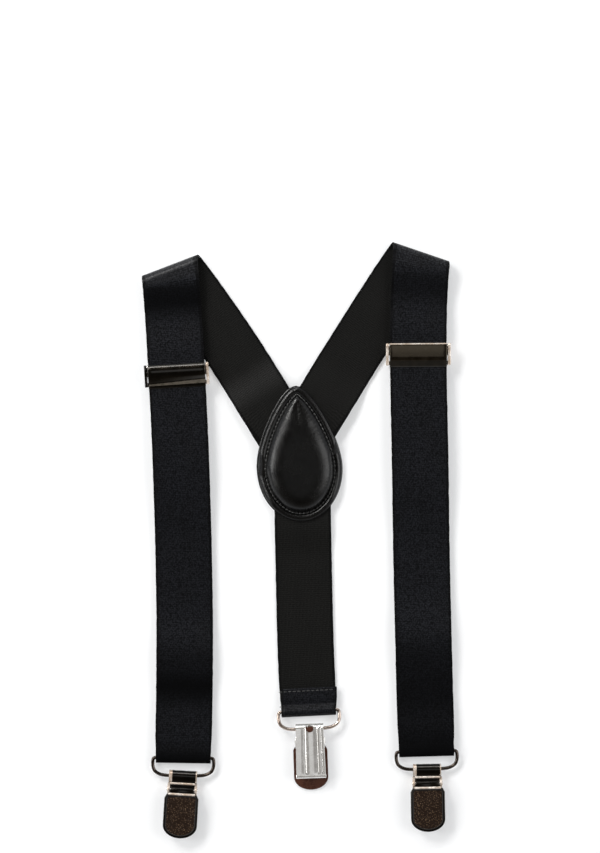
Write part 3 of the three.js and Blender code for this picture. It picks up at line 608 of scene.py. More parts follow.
def settle(bm, place):
    """Brings a finished shape from its own millimetres to the frame, with faces outwards."""
    bmesh.ops.remove_doubles(bm, verts=bm.verts, dist=1e-5)
    bmesh.ops.recalc_face_normals(bm, faces=bm.faces)
    bmesh.ops.transform(bm, matrix=place, verts=bm.verts)


def local_frame(joint, x_sign, up):
    """A piece's own frame: origin on the joint, X along its axis, Z near up."""
    x = Vector(JOINTS[joint]["axis"]).normalized() * x_sign
    z = (up - x * up.dot(x)).normalized()
    y = z.cross(x)
    basis = Matrix((x, y, z)).transposed().to_4x4()
    return Matrix.Translation(JOINTS[joint]["pos_m"]) @ basis @ Matrix.Scale(MM, 4)


# ======== routes of the webbing ========
def smooth_route(points, per_span=40):
    """Points of a centripetal Catmull-Rom curve in plan through the given ones."""
    knots = [Vector((x, y, 0)) for x, y in points]
    knots = [2 * knots[0] - knots[1], *knots, 2 * knots[-1] - knots[-2]]
    out = []
    for a, b, c, d in zip(knots, knots[1:], knots[2:], knots[3:]):
        before, here, after = [math.sqrt((q - p).length) for p, q in ((a, b), (b, c), (c, d))]
        start = ((b - a) / before - (c - a) / (before + here) + (c - b) / here) * here
        end = ((c - b) / here - (d - b) / (here + after) + (d - c) / after) * here
        out += interpolate_bezier(b, b + start / 3, c - end / 3, c, per_span)[:-1]
    return out + [knots[-2]]


def eased(t):
    t = min(1, max(0, t))
    return t * t * (3 - 2 * t)


def height_at(steps, y):
    """The eased height at y from a list of falling y values, each with its height."""
    for (y0, z0), (y1, z1) in zip(steps, steps[1:]):
        if y >= y1:
            return z0 + (z1 - z0) * eased((y0 - y) / (y0 - y1))
    return steps[-1][1]


def row(middle, across, half, side_a):
    """One line across the webbing: its middle, its right end from there, and side A's way."""
    return {"middle": middle.copy(), "across": across.normalized() * half, "up": side_a}


def run_rows(route, y_from, y_to, heights, side_a_up, width_at):
    """The rows of a run on its plan route, which falls in y, from one y to another."""
    rows = []
    sign = 1 if side_a_up else -1
    for i, here in enumerate(route):
        if not min(y_from, y_to) <= here.y <= max(y_from, y_to):
            continue
        travel = route[min(i + 1, len(route) - 1)] - route[max(i - 1, 0)]
        across = Vector((travel.y, -travel.x, 0)) * sign
        middle = Vector((here.x, here.y, height_at(heights, here.y)))
        rows.append(row(middle, across, width_at(here.y) / 2, UP * sign))
    return rows if y_from > y_to else rows[::-1]


def turn_rows(bar, travel, across, radius, arrives_high, half, steps=18):
    """Half a turn of the webbing round a bar."""
    rows = []
    for i in range(steps + 1):
        angle = (1 if arrives_high else -1) * math.pi * (0.5 - i / steps)
        outward = travel * math.cos(angle) + UP * math.sin(angle)
        rows.append(row(bar + outward * radius, across, half, -outward))
    return rows


def end_travel(route):
    return (route[-1] - route[-4]).normalized()


def fold_rows(name):
    """The shoulder fold. Every row lies along the fold line, so the webbing only bends. The
    front strap's route and the back strap's way towards the fold go with it."""
    side = -1 if name == "left" else 1
    corner = Vector((*SHOULDER[name], 0))
    start = corner - Vector((0, FOLD_RADIUS, 0))
    front = smooth_route([start.xy, *FRONT_ROUTE[name]])
    front_travel = (front[1] - front[0]).normalized()
    lean = math.radians(BACK_ANGLE[name]) * side
    back_travel = Vector((math.sin(lean), math.cos(lean), 0))
    outward = (back_travel - front_travel).normalized()
    along = Vector((outward.y, -outward.x, 0))
    slope = back_travel.dot(along) / back_travel.dot(outward)
    half = WEB_WIDTH / 2 / along.dot(Vector((back_travel.y, -back_travel.x, 0)))
    axis = corner - outward * (FOLD_RADIUS + HALF_WEB)
    rows = []
    steps = 22
    for i in range(steps + 1):
        angle = math.pi * (i / steps - 0.5)
        radial = outward * math.cos(angle) + UP * math.sin(angle)
        middle = axis + along * (FOLD_RADIUS * angle * slope)
        middle += UP * (HALF_WEB + FOLD_RADIUS) + radial * FOLD_RADIUS
        rows.append(row(middle, along, half, -radial))
    return rows, front, back_travel


def narrowed(bar_y):
    """The webbing's width by y, drawn in a little where it goes into its wire loop."""
    return lambda y: TURN_WIDTH + (WEB_WIDTH - TURN_WIDTH) * eased((y - bar_y) / 12)


def back_rows(name, foot, back_travel):
    """The back strap, from its slanting cut on the middle line up to the shoulder fold."""
    side = -1 if name == "left" else 1
    lead = foot - back_travel * 8
    route = smooth_route([foot.xy, lead.xy, *BACK_ROUTE[name]])
    heights = [(76, HALF_WEB), (60, PATCH_LAYER_HIGH)]
    rows = run_rows(route, 60, foot.y - 4, heights, False, lambda y: WEB_WIDTH)
    for line in rows:
        line["up"] = UP
    travel = Vector((rows[0]["across"].y, -rows[0]["across"].x, 0)).normalized()
    travel = travel if travel.y < 0 else -travel
    cut_x = MEETING_LINE_X + side * 0.15
    ends = [rows[0]["middle"] + rows[0]["across"] * s for s in (-1, 1)]
    ends = [e + travel * ((cut_x - e.x) / travel.x) for e in ends]
    mitre = {"middle": (ends[0] + ends[1]) / 2, "across": (ends[1] - ends[0]) / 2, "up": UP}
    return [mitre, *rows]


def shoulder_rows(name):
    """The whole of one shoulder's webbing that shows: back, fold, front, and clip turn."""
    fold, front, back_travel = fold_rows(name)
    back = back_rows(name, fold[0]["middle"], back_travel)
    top = fold[-1]["middle"]
    bar = Vector((*FRONT_ROUTE[name][-1], BAR_HEIGHT))
    width_at = narrowed(bar.y)
    start_y = top.y - 6
    adjuster_y = (JOINTS[f"{name}_cover_flip"]["pos_m"][1] - SHIFT.y) / MM
    lifted = [(start_y, 5.3), (start_y - 10, 3.8), (start_y - 14, 3.8),
              (adjuster_y + 6, LIFTED_HEIGHT), (35, LIFTED_HEIGHT), (-5, UPPER_LAYER),
              *SWELLS[name], (bar.y, BAR_HEIGHT + TURN_RADIUS)]
    travel = end_travel(front)
    across = Vector((-travel.y, travel.x, 0))
    rows = [*back, *fold, *run_rows(front, start_y, bar.y + 1, lifted, False, width_at),
            *turn_rows(bar, travel, across, TURN_RADIUS, True, TURN_WIDTH / 2)]
    low = (bar - travel * CARRIED_LENGTH).xy.to_3d() + UP * HALF_WEB
    return rows + [row(low, across, TURN_WIDTH / 2, UP)], front, bar, travel


def centre_rows():
    """Centre strap from under the patch, round its wire and up into the hem."""
    route = smooth_route(CENTRE_ROUTE)
    bar = Vector((*CENTRE_ROUTE[-1], BAR_HEIGHT))
    travel = end_travel(route)
    across = Vector((travel.y, -travel.x, 0))
    heights = [(6, PATCH_LAYER_LOW), (-8, HALF_WEB)]
    rows = run_rows(route, CENTRE_ROUTE[0][1], bar.y + 1, heights, True, narrowed(bar.y))
    rows += turn_rows(bar, travel, across, TURN_RADIUS, False, TURN_WIDTH / 2)
    slid = across.normalized() * -0.7
    for length, rise in ((3, 0.15), (6, 0.3), (HEM_LENGTH - 3.2, 0.1), (HEM_LENGTH - 2.3, 0)):
        middle = bar.xy.to_3d() - travel * length + slid * eased(length / 9)
        rows.append(row(middle + UP * (UPPER_LAYER + rise), across, TURN_WIDTH / 2 + 0.2, -UP))
    return rows, bar, travel, across


# ======== webbing ========
def running_lengths(points):
    """How far along the line each of its points lies."""
    reach = [0.0]
    for one, other in zip(points, points[1:]):
        reach.append(reach[-1] + (other - one).length)
    return reach


def stations_along(rows, step):
    """The webbing's cross lines and its whole length. Each cross line is given as its distance
    along, the row before it, and its share of the way to the next row."""
    reach = running_lengths([r["middle"] for r in rows])
    count = max(8, round(reach[-1] / step))
    wanted = sorted({*reach, *[reach[-1] * i / count for i in range(count + 1)]})
    kept = [wanted[0]]
    for along in wanted[1:]:
        if along - kept[-1] > 0.3 * min(step, 0.8):
            kept.append(along)
    kept[-1] = wanted[-1]
    stations, at = [], 0
    for along in kept:
        while at + 2 < len(reach) and reach[at + 1] < along:
            at += 1
        share = (along - reach[at]) / max(1e-9, reach[at + 1] - reach[at])
        stations.append((along, at, min(1, share)))
    return stations, reach[-1]


def webbing(name, rows, divisions=14, step=1.1, wave=0.0, seed=0.0, nap=None):
    """A length of webbing laid over its rows: a grid mapped onto them, with its own map in
    millimetres, given its thickness, its selvedges and its two different faces."""
    stations, length = stations_along(rows, step)
    bm = bmesh.new()
    bmesh.ops.create_grid(bm, x_segments=divisions, y_segments=len(stations) - 1, size=1)
    layer = bm.loops.layers.uv.new("webbing")
    bm.verts.index_update()
    place, painted_light_shares = {}, {}
    for v in bm.verts:
        u = v.co.x
        along, i, t = stations[round((v.co.y + 1) / 2 * (len(stations) - 1))]
        one, other = rows[i], rows[i + 1]
        middle = one["middle"].lerp(other["middle"], t)
        across = one["across"].lerp(other["across"], t)
        up = one["up"].lerp(other["up"], t).normalized()
        away = min(along, length - along)
        swell = noise(Vector((seed, along / 21, u * 0.4))) + 0.35
        swell *= wave * eased(away / 20) * (1 if up.z < 0 else 0.5)
        frayed = 0.12 * noise(Vector((seed + 7, along / 3.1, u)))
        place[v] = (u * across.length, along)
        # per-point share of painted light and shade by y on the face that shows, 0.9 elsewhere
        painted_light_shares[v.index] = height_at(nap, middle.y) if nap and up.z < 0 else 0.9
        v.co = middle + across * (u + frayed * abs(u) ** 8 / across.length)
        v.co.z += max(0, swell) * (1 - 0.3 * u * u)
    for face in bm.faces:
        for loop in face.loops:
            loop[layer].uv = place[loop.vert]
    bm.normal_update()
    if next(iter(bm.faces)).normal.dot(rows[0]["up"]) < 0:
        bmesh.ops.reverse_faces(bm, faces=bm.faces)
    bmesh.ops.transform(bm, matrix=TO_FRAME, verts=bm.verts)
    piece = finish_piece(name, bm, [FINISHES["ribbed"], FINISHES["pebbled"], FINISHES["edge"]])
    piece.data.shade_smooth()
    painted_light_layer = piece.data.attributes.new("nap", "FLOAT", "POINT")
    for index, share in painted_light_shares.items():
        painted_light_layer.data[index].value = share
    wall = add_thickness(piece, WEB_THICK, 0, 2)
    wall.material_offset = 1
    wall.use_even_offset = True
    add_rounding(piece, "selvedge", SELVEDGE_ROUND, 3)
    return piece, length


def stitch_row(name, places, length, body, thick=0.26):
    """Separate stitches of thread. Each place is a point, the thread's way, and up."""
    bm = bmesh.new()
    for point, way, up in places:
        x = way.normalized()
        y = up.cross(x).normalized()
        turn = Matrix((x, y, x.cross(y))).transposed().to_4x4()
        sized = Matrix.Diagonal((length / 2, thick, thick, 1))
        bmesh.ops.create_uvsphere(bm, u_segments=8, v_segments=6, radius=1,
                                  matrix=Matrix.Translation(point) @ turn @ sized)
    bmesh.ops.transform(bm, matrix=TO_FRAME, verts=bm.verts)
    piece = finish_piece(name, bm, [FINISHES["thread"]], smooth=60)
    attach(piece, body)
    return piece


def strap_pieces():
    for name in ("left", "right"):
        rows, front, bar, travel = shoulder_rows(name)
        strap, length = webbing(f"{name}_strap", rows, wave=0.15, nap=PAINTED_LIGHT_ALONG_STRAPS[name],
                                seed=3.1 if name == "left" else 9.4)
        top = bar - travel * FOLLOWING_LENGTH
        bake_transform(strap, "root", f"{name}_clip_end", start=TO_FRAME @ top,
                 end=TO_FRAME @ (bar - travel * (CARRIED_LENGTH + 2)))
        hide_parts(f"{name}_back_strap", f"{name}_front_strap", f"{name}_strap_turn")
        length * MM
        return_strap(name, front, travel)
        sewn_end(name)
    rows, bar, travel, across = centre_rows()
    strap, length = webbing("centre_strap_webbing", rows, wave=0.25, seed=5.2,
                            nap=[(-60, 1.0), (-75, 0.8)])
    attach(strap, "root")
    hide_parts("centre_strap")
    hem = hem_stitches(bar, travel, across.normalized())
    length * MM


def return_strap(name, front, travel):
    """The layer that runs back up to the adjuster, under the front strap."""
    low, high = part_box(f"{name}_return_strap")
    top = (high.y - SHIFT.y) / MM - 0.1
    bottom = (low.y - SHIFT.y) / MM
    rows = run_rows(front, top, bottom, [(0, HALF_WEB), (-1, HALF_WEB)], True,
                    lambda y: TURN_WIDTH)
    strap, length = webbing(f"{name}_return_webbing", rows, divisions=6, step=2.5)
    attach(strap, f"{name}_clip_end")
    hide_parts(f"{name}_return_strap")
    travelled = JOINTS[f"{name}_adjuster_slide"]["range_m"][1] / MM / 2
    tuple(-travel)
    tuple(TO_FRAME @ rows[-1]["middle"])
    1 - travelled / length
    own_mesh(strap)
    length * MM


def adjuster_frame_matrix(name):
    """The adjuster's own frame, from its cover's hinge: Y up the strap, Z up."""
    hinge = local_frame(f"{name}_cover_flip", -1, UP)
    return hinge @ Matrix.Translation((0, -COVER_PIN_Y, -COVER_PIN_Z))


def sewn_end(name):
    """The webbing's end, folded round the adjuster's bar and stitched down on itself."""
    radius = END_TURN_RADIUS
    centre = Vector((0, -ADJUSTER_HALF + 1.5, HALF_WEB + radius))
    across = Vector((1, 0, 0))
    rows = [row(Vector((0, -END_TAB - 3, HALF_WEB)), across, TURN_WIDTH / 2, UP),
            *turn_rows(centre, Vector((0, 1, 0)), across, radius, False, TURN_WIDTH / 2, 12),
            row(Vector((0, -END_TAB, HALF_WEB + 2 * radius)), across, TURN_WIDTH / 2, -UP)]
    to_design = TO_FRAME.inverted() @ adjuster_frame_matrix(name)
    turn = to_design.to_3x3()
    for line in rows:
        line["middle"] = to_design @ line["middle"]
        line["across"] = turn @ line["across"]
        line["up"] = (turn @ line["up"]).normalized()
    piece, length = webbing(f"{name}_sewn_end", rows, divisions=6)
    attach(piece, f"{name}_adjuster")
    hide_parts(f"{name}_strap_end")
    places = [(to_design @ Vector((x, -END_TAB + 1.6, HALF_WEB + 2 * radius + 0.66)),
               turn @ across, UP) for x in even_steps(END_ROW_HALF, ROW_PITCH)]
    thread = stitch_row(f"{name}_end_stitches", places, 1.6, f"{name}_adjuster")
    length * MM


def even_steps(half, pitch):
    """Evenly spaced places from -half to half, about a pitch apart."""
    count = round(2 * half / pitch)
    return [-half + 2 * half * i / count for i in range(count + 1)]


def hem_stitches(bar, travel, across):
    places = []
    for back, drop in ((HEM_LENGTH - 3.6, 0.0), (2.4, 0.1)):
        for x in even_steps(HEM_ROW_HALF, ROW_PITCH):
            middle = bar.xy.to_3d() - travel * back + across * (x + 0.8)
            places.append((middle + UP * (UPPER_LAYER + HALF_WEB + 0.1 + drop), across, UP))
    return stitch_row("hem_stitches", places, 1.55, "root")


# ======== back patch ========
# handle length of a quarter ellipse drawn as a cubic curve
ROUND = 0.5523
PATCH_COLUMNS = 432
PATCH_RINGS = 36
# the rings nearest the edge by their distance from it; the others share the rest of the way in
PATCH_INSETS = [0, 0.12, 0.35, 0.7, 1.15, 1.7, 2.2, 2.6, 2.9, STITCH_INSET, 3.5, 3.8, 4.2, 4.6, 5.1,
                5.7, 6.4, 7.2, 8.1, 9.1, 10.2]
# beyond this distance the rings close up where the patch is narrow
LOOSE_INSET = 4.2
BACK_LEATHER_TOP = 1.1
FRONT_LEATHER = 1.0
# how far from the middle line the dome's crest is smoothed
CREST_HALF = 1.6
PATCH_FRAME = Matrix.Translation((*PATCH_BASE, 0)) @ Matrix.Rotation(
    math.radians(PATCH_TILT), 4, "Z")


def teardrop(margin, turn):
    """A point of the patch's outline, let out by a margin. turn runs from 0 to 4."""
    half, low, tip = PATCH_HALF + margin, -margin, PATCH_LENGTH + margin
    right = [
        [(0, low), (half * ROUND, low), (half, PATCH_WIDEST - (PATCH_WIDEST - low) * ROUND),
         (half, PATCH_WIDEST)],
        [(half, PATCH_WIDEST), (half, PATCH_WIDEST + 11.7), (7.2 + margin, tip - 1.2), (0, tip)],
    ]
    mirrored = turn > 2
    turn = 4 - turn if mirrored else turn
    span = right[min(1, int(turn))]
    t = turn - min(1, int(turn))
    weights = ((1 - t) ** 3, 3 * t * (1 - t) ** 2, 3 * t * t * (1 - t), t ** 3)
    x = sum(w * p[0] for w, p in zip(weights, span))
    y = sum(w * p[1] for w, p in zip(weights, span))
    return Vector((-x if mirrored else x, y, 0))


def even_turns(count):
    """Outline turns that are evenly spaced along the edge, and the edge's length."""
    fine = [4 * i / 2000 for i in range(2001)]
    reach = running_lengths([teardrop(0, t) for t in fine])
    turns, at = [], 0
    for i in range(count):
        wanted = reach[-1] * i / count
        while reach[at + 1] < wanted:
            at += 1
        share = (wanted - reach[at]) / (reach[at + 1] - reach[at])
        turns.append(fine[at] + (fine[at + 1] - fine[at]) * share)
    return turns, reach[-1]


def strap_cover():
    """Where the straps run under the patch: middle points, the way across, and the height."""
    cover = []
    for name, side in (("left", -1), ("right", 1)):
        rows = shoulder_rows(name)[0]
        first = rows[1]
        across = first["across"].normalized()
        down = Vector((across.y, -across.x, 0))
        down = down if down.y < 0 else -down
        line = [(first["middle"] + down * 1.2 * i, PATCH_LAYER_HIGH) for i in range(34)]
        upper = [r for r in rows if r["up"].z > 0.9 and 60 < r["middle"].y < 84]
        line += [(r["middle"], r["middle"].z) for r in upper]
        cover.append((line, across, side))
    rows = [r for r in centre_rows()[0] if r["up"].z > 0.9 and r["middle"].y > -12]
    line = [(r["middle"], r["middle"].z) for r in rows]
    cover.append((line, rows[0]["across"].normalized(), 0))
    return cover


def support_at(cover, point):
    """Height of what the front leather lies on at a point: the straps, or the back leather."""
    best = BACK_LEATHER_TOP
    for line, across, side in cover:
        if side and (point.x - MEETING_LINE_X) * side < -2:
            continue
        middle, z = min(line, key=lambda m: (m[0].xy - point.xy).length_squared)
        away = abs((point - middle).dot(across)) - WEB_WIDTH / 2
        along = abs((point - middle).dot(UP.cross(across)))
        away = max(away, along - 3)
        over = z + HALF_WEB + 0.3
        best = max(best, over + (BACK_LEATHER_TOP - over) * eased((away - 0.3) / 6.5))
    return best


def inward_lines(turns):
    """For each outline point: the point, the way in, and how far the middle line is."""
    lines = []
    for turn in turns[:len(turns) // 2 + 1]:
        here = teardrop(0, turn)
        step = teardrop(0, min(4, turn + 0.002)) - teardrop(0, max(0, turn - 0.002))
        way = Vector((-step.y, step.x, 0)).normalized()
        goal = PATCH_LENGTH if way.y < 0 else 0
        if abs(way.x) > 0.02:
            goal = here.y - here.x * way.y / way.x
        goal = min(PATCH_LENGTH - 6.5, max(15, goal))
        to_goal = Vector((0, goal, 0)) - here
        lines.append((here, to_goal.normalized(), to_goal.length))
    flip = Vector((-1, 1, 1))
    return lines + [(here * flip, way * flip, reach) for here, way, reach in lines[-2:0:-1]]


def padded_height(inset, reach):
    """Dome of the front leather at an inset, where the middle line is reach away."""
    slope_end = max(0.1, min(reach, 13.5) - STITCH_INSET)
    share = min(1, max(0, (inset - STITCH_INSET) / slope_end))
    crest = 5.9 + 2.2 * eased((reach - 3) / 12)
    return 5.2 + (crest - 5.2) * (1 - (1 - share) ** 3.0)


def ring_inset(ring, reach):
    """How far in from the edge a ring lies, where the middle line is reach away."""
    tightness = min(1, (reach - 4.8) / 7.5)
    last = len(PATCH_INSETS) - 1
    inset = PATCH_INSETS[min(ring, last)]
    inset = min(inset, LOOSE_INSET) + max(0, inset - LOOSE_INSET) * tightness
    if ring <= last:
        return inset
    return inset + (reach - inset) * (ring - last) / (PATCH_RINGS - last)


def leather_height(point, inset, reach, phase, cover):
    """The front leather's height at a point. phase counts the stitches round the edge."""
    held = eased((inset - 2.9) / 2.6)
    low = support_at(cover, point) + 1.1 if held < 1 else 0
    z = low * (1 - held) + max(padded_height(inset, reach), low) * held
    z -= 0.6 * math.exp(-((inset - STITCH_INSET) / 0.6) ** 2)
    z -= 0.5 * (1 - math.sqrt(1 - (1 - min(1, inset / 0.75)) ** 2))
    z += 0.35 * math.exp(-((inset - 1.5) / 0.8) ** 2)
    crease = math.cos(2 * math.pi * phase) + 0.6 * noise(Vector((phase * 0.45, 3, 1)))
    z -= 0.075 * crease * math.exp(-((inset - 4.4) / 1.0) ** 2)
    z -= 0.16 * (crease > 0.4) * math.exp(-((inset - STITCH_INSET) / 0.5) ** 2)
    return z + 0.08 * noise(Vector((point.x / 5, point.y / 5, 4))) * eased(inset / 6)


def patch_front():
    """Front leather: a rolled rim, the stitched groove, and the padded dome with its puckers."""
    turns, around = even_turns(PATCH_COLUMNS)
    lines = inward_lines(turns)
    cover = strap_cover()
    bm = bmesh.new()
    bmesh.ops.create_grid(bm, x_segments=PATCH_COLUMNS, y_segments=PATCH_RINGS, size=1)
    depth = bm.verts.layers.float.new("depth")
    stitches = round(around / STITCH_PITCH)
    base = {}
    for v in bm.verts:
        column = round((v.co.x + 1) / 2 * PATCH_COLUMNS) % PATCH_COLUMNS
        ring = round((v.co.y + 1) / 2 * PATCH_RINGS)
        edge, way, reach = lines[column]
        inset = ring_inset(ring, reach)
        key = (column, ring)
        if key not in base:
            point = PATCH_FRAME @ (edge + way * inset)
            phase = column / PATCH_COLUMNS * stitches
            height = leather_height(point, inset, reach, phase, cover)
            base[key] = Vector((point.x, point.y, height))
        v.co = base[key]
        v[depth] = inset - reach
    bmesh.ops.remove_doubles(bm, verts=bm.verts, dist=0.004)
    heart = [v for v in bm.verts if v[depth] > -CREST_HALF]
    bmesh.ops.remove_doubles(bm, verts=heart, dist=0.12)
    heart = [v for v in bm.verts if v[depth] > -CREST_HALF]
    for _ in range(12):
        bmesh.ops.smooth_vert(bm, verts=heart, factor=0.5, use_axis_z=True)
    bm.verts.layers.float.remove(depth)
    settle(bm, TO_FRAME)
    top = max(bm.faces, key=lambda f: f.calc_center_median().z)
    if top.normal.z < 0:
        bmesh.ops.reverse_faces(bm, faces=bm.faces)
    piece = finish_piece("patch_front", bm, [FINISHES["leather"], FINISHES["rim"]], smooth=70)
    add_thickness(piece, FRONT_LEATHER, -1, 1)
    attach(piece, "root")
    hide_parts("patch_front_leather", "patch_filler")
    patch_stitches(stitches, base)
    return cover


def patch_stitches(stitches, base):
    """Slanting stitches in the groove, from the front leather's own points."""
    ring = PATCH_INSETS.index(STITCH_INSET)
    places = []
    for k in range(stitches):
        column = round((k + 0.5) * PATCH_COLUMNS / stitches) % PATCH_COLUMNS
        here = base[column, ring]
        after = base[(column + 3) % PATCH_COLUMNS, ring]
        way = after - base[(column - 3) % PATCH_COLUMNS, ring]
        places.append((here + UP * 0.3, way + UP.cross(way) * 0.16, UP))
    stitch_row("patch_stitches", places, 1.45, "root", thick=0.34)


def flat_leather(name, shift, margin, width, top_at, thick, node=None):
    """A plain leather that follows the outline: a band of the given width, or a whole leaf."""
    columns, rings = 216, 10
    turns, _ = even_turns(columns)
    bm = bmesh.new()
    bmesh.ops.create_grid(bm, x_segments=columns, y_segments=rings, size=1)
    heart = Vector((0, PATCH_WIDEST, 0))
    for v in bm.verts:
        column = round((v.co.x + 1) / 2 * columns) % columns
        ring = round((v.co.y + 1) / 2 * rings) / rings
        edge = teardrop(margin, turns[column]) + Vector(shift)
        if width:
            flat = edge.lerp(teardrop(margin - width, turns[column]), ring)
        else:
            flat = edge.lerp(heart, ring)
        point = PATCH_FRAME @ flat
        roll = 0.18 * (1 - min(1, ring * 4)) ** 2
        v.co = (point.x, point.y, top_at(point) - roll)
    settle(bm, TO_FRAME)
    if next(iter(bm.faces)).normal.z < 0:
        bmesh.ops.reverse_faces(bm, faces=bm.faces)
    piece = finish_piece(name, bm, [FINISHES["leather"], FINISHES["rim"]], smooth=50)
    add_thickness(piece, thick, -1, 1)
    add_rounding(piece, "rolled_edge", 0.22, 2)
    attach(piece, "root")
    if node:
        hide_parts(node)
    return piece


def patch_pieces():
    cover = patch_front()
    back = flat_leather("patch_back", (-0.2, 0.1, 0), 0.5, 0, lambda p: 0.9, 0.9,
                        "patch_back_leather")
    lining = flat_leather("patch_welt", (-1.05, 0.75, 0), -0.35, 2.2,
                          lambda p: support_at(cover, p) + 0.35, 0.45)


# ======== wire loops and clips ========
def wire_loop(name):
    """A closed loop of wire, drawn as half an outline and its mirror."""
    side = [(0.2, 0), (6.05, 0), (12.1, 0), (13.0, -0.36), (LOOP_HALF, -1.2),
            (LOOP_HALF, -3.6), (12.6, -5.6), (11.3, -6.7), (9.5, -7.45),
            (BARREL_HALF + 0.3, -LOOP_DROP), (5.0, -LOOP_DROP)]
    points = [*side, (0, -LOOP_DROP), *[(-x, y) for x, y in reversed(side)]]
    path = smooth_route(points, per_span=8)
    place = local_frame(f"{name}_loop_swing", -1 if name == "centre" else 1,
                        loop_up(name))
    curve = bpy.data.curves.new("wire", "CURVE")
    curve.dimensions = "3D"
    curve.bevel_depth = WIRE
    curve.bevel_resolution = 5
    curve.use_fill_caps = True
    spline = curve.splines.new("POLY")
    spline.points.add(len(path) - 1)
    for knot, point in zip(spline.points, path):
        knot.co = (*point, 1)
    bent = bpy.data.objects.new("wire", curve)
    bpy.context.scene.collection.objects.link(bent)
    bm = bmesh.new()
    bm.from_mesh(bpy.data.meshes.new_from_object(bent))
    bpy.data.objects.remove(bent)
    settle(bm, place)
    finish = "loop" if name == "centre" else "wire"
    piece = finish_piece(f"{name}_wire", bm, [FINISHES[finish]], smooth=40)
    ride_for(piece, f"{name}_loop", f"{name}_wire_loop")


def loop_up(name):
    """The loop's own up: square to its axis and to the line between its two bars."""
    swing, clip = JOINTS[f"{name}_loop_swing"], JOINTS[f"{name}_clip_swing"]
    x = Vector(swing["axis"]) * (-1 if name == "centre" else 1)
    down = Vector(clip["pos_m"]) - Vector(swing["pos_m"])
    return x.cross(-down).normalized()


def ride_for(piece, body, node):
    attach(piece, body)
    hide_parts(node)


def tooth_line(half, z, height, count=13):
    """An end view of pointed teeth between two x values."""
    pitch = 2 * half / count
    points = [(-half, z - math.copysign(0.25, height))]
    for i in range(count):
        points += [(-half + pitch * i + 0.02, z), (-half + pitch * (i + 0.5), z + height)]
    return points + [(half - 0.02, z), (half, z - math.copysign(0.25, height))]


def rib_depth(x):
    """How far the plate's face lies below its highest bands, across the plate."""
    depth = 0.14 * eased((-1.0 - x) / 2.0) * (x > -3.45)
    for at, wide, deep in PLATE_LINES:
        depth += deep * math.exp(-((x - at) / wide) ** 2)
    return depth


def shell_rows():
    """The plate's outer line from its biting end, round the wire, to the curl's end: for each
    point y, z and the outward way."""
    r, flat = BARREL_RADIUS, 66
    line = [(-BODY_LENGTH * (1 - i / flat), -r, 0, -1) for i in range(flat)]
    turns = [math.radians(-90 + 180 * i / 30) for i in range(31)]
    line += [(r * math.cos(a), r * math.sin(a), math.cos(a), math.sin(a)) for a in turns]
    return line + [(-0.8, r - 0.04, -0.1, 1), (-1.5, r - 0.14, -0.2, 0.98),
                   (-2.2, r - 0.32, -0.3, 0.95), (-2.7, r - 0.52, -0.4, 0.92)]


def clip_shell(front):
    """Ribbed back plate and its curl in one sheet, with the round notch over the wire."""
    bm = bmesh.new()
    rows, columns = shell_rows(), 60
    bmesh.ops.create_grid(bm, x_segments=columns, y_segments=len(rows) - 1, size=1)
    for v in bm.verts:
        y, z, out_y, out_z = rows[round((v.co.y + 1) / 2 * (len(rows) - 1))]
        x = v.co.x * (BARREL_HALF + 0.35 * eased(-y / BODY_LENGTH))
        ribbed = eased((0.9 - z) / 2.2) * eased((y + BODY_LENGTH) / 1.5)
        depth = rib_depth(v.co.x * BARREL_HALF) * ribbed
        v.co = (x, y - out_y * depth, z - out_z * depth)
    in_notch = [f for f in bm.faces if notch_share(f.calc_center_median()) < 1]
    bmesh.ops.delete(bm, geom=in_notch, context="FACES")
    for v in bm.verts:
        share = notch_share(v.co)
        if v.is_boundary and share < 1.6:
            v.co.x *= 1 / math.sqrt(share)
            if v.co.z < -1:
                v.co.y = NOTCH_Y + (v.co.y - NOTCH_Y) / math.sqrt(share)
    bm.normal_update()
    outer = next(f for f in bm.faces if f.calc_center_median().y < -15)
    if outer.normal.z < 0:
        bmesh.ops.reverse_faces(bm, faces=bm.faces)
    bmesh.ops.solidify(bm, geom=bm.faces, thickness=-SHEET)
    if front:
        # painted highlight: on the front clips the barrel's top near both ends takes the pale finish
        for face in bm.faces:
            middle = face.calc_center_median()
            bright = middle.z > 0.4 and (middle.x < -4.7 or middle.x > 5.6)
            face.material_index = 1 if bright else 0
    return bm


def notch_share(point):
    """Below 1 inside the notch, which lies where the plate starts to bend."""
    if point.z > 1:
        return 9
    return (point.x / NOTCH_RADIUS) ** 2 + ((point.y - NOTCH_Y) / NOTCH_RADIUS) ** 2


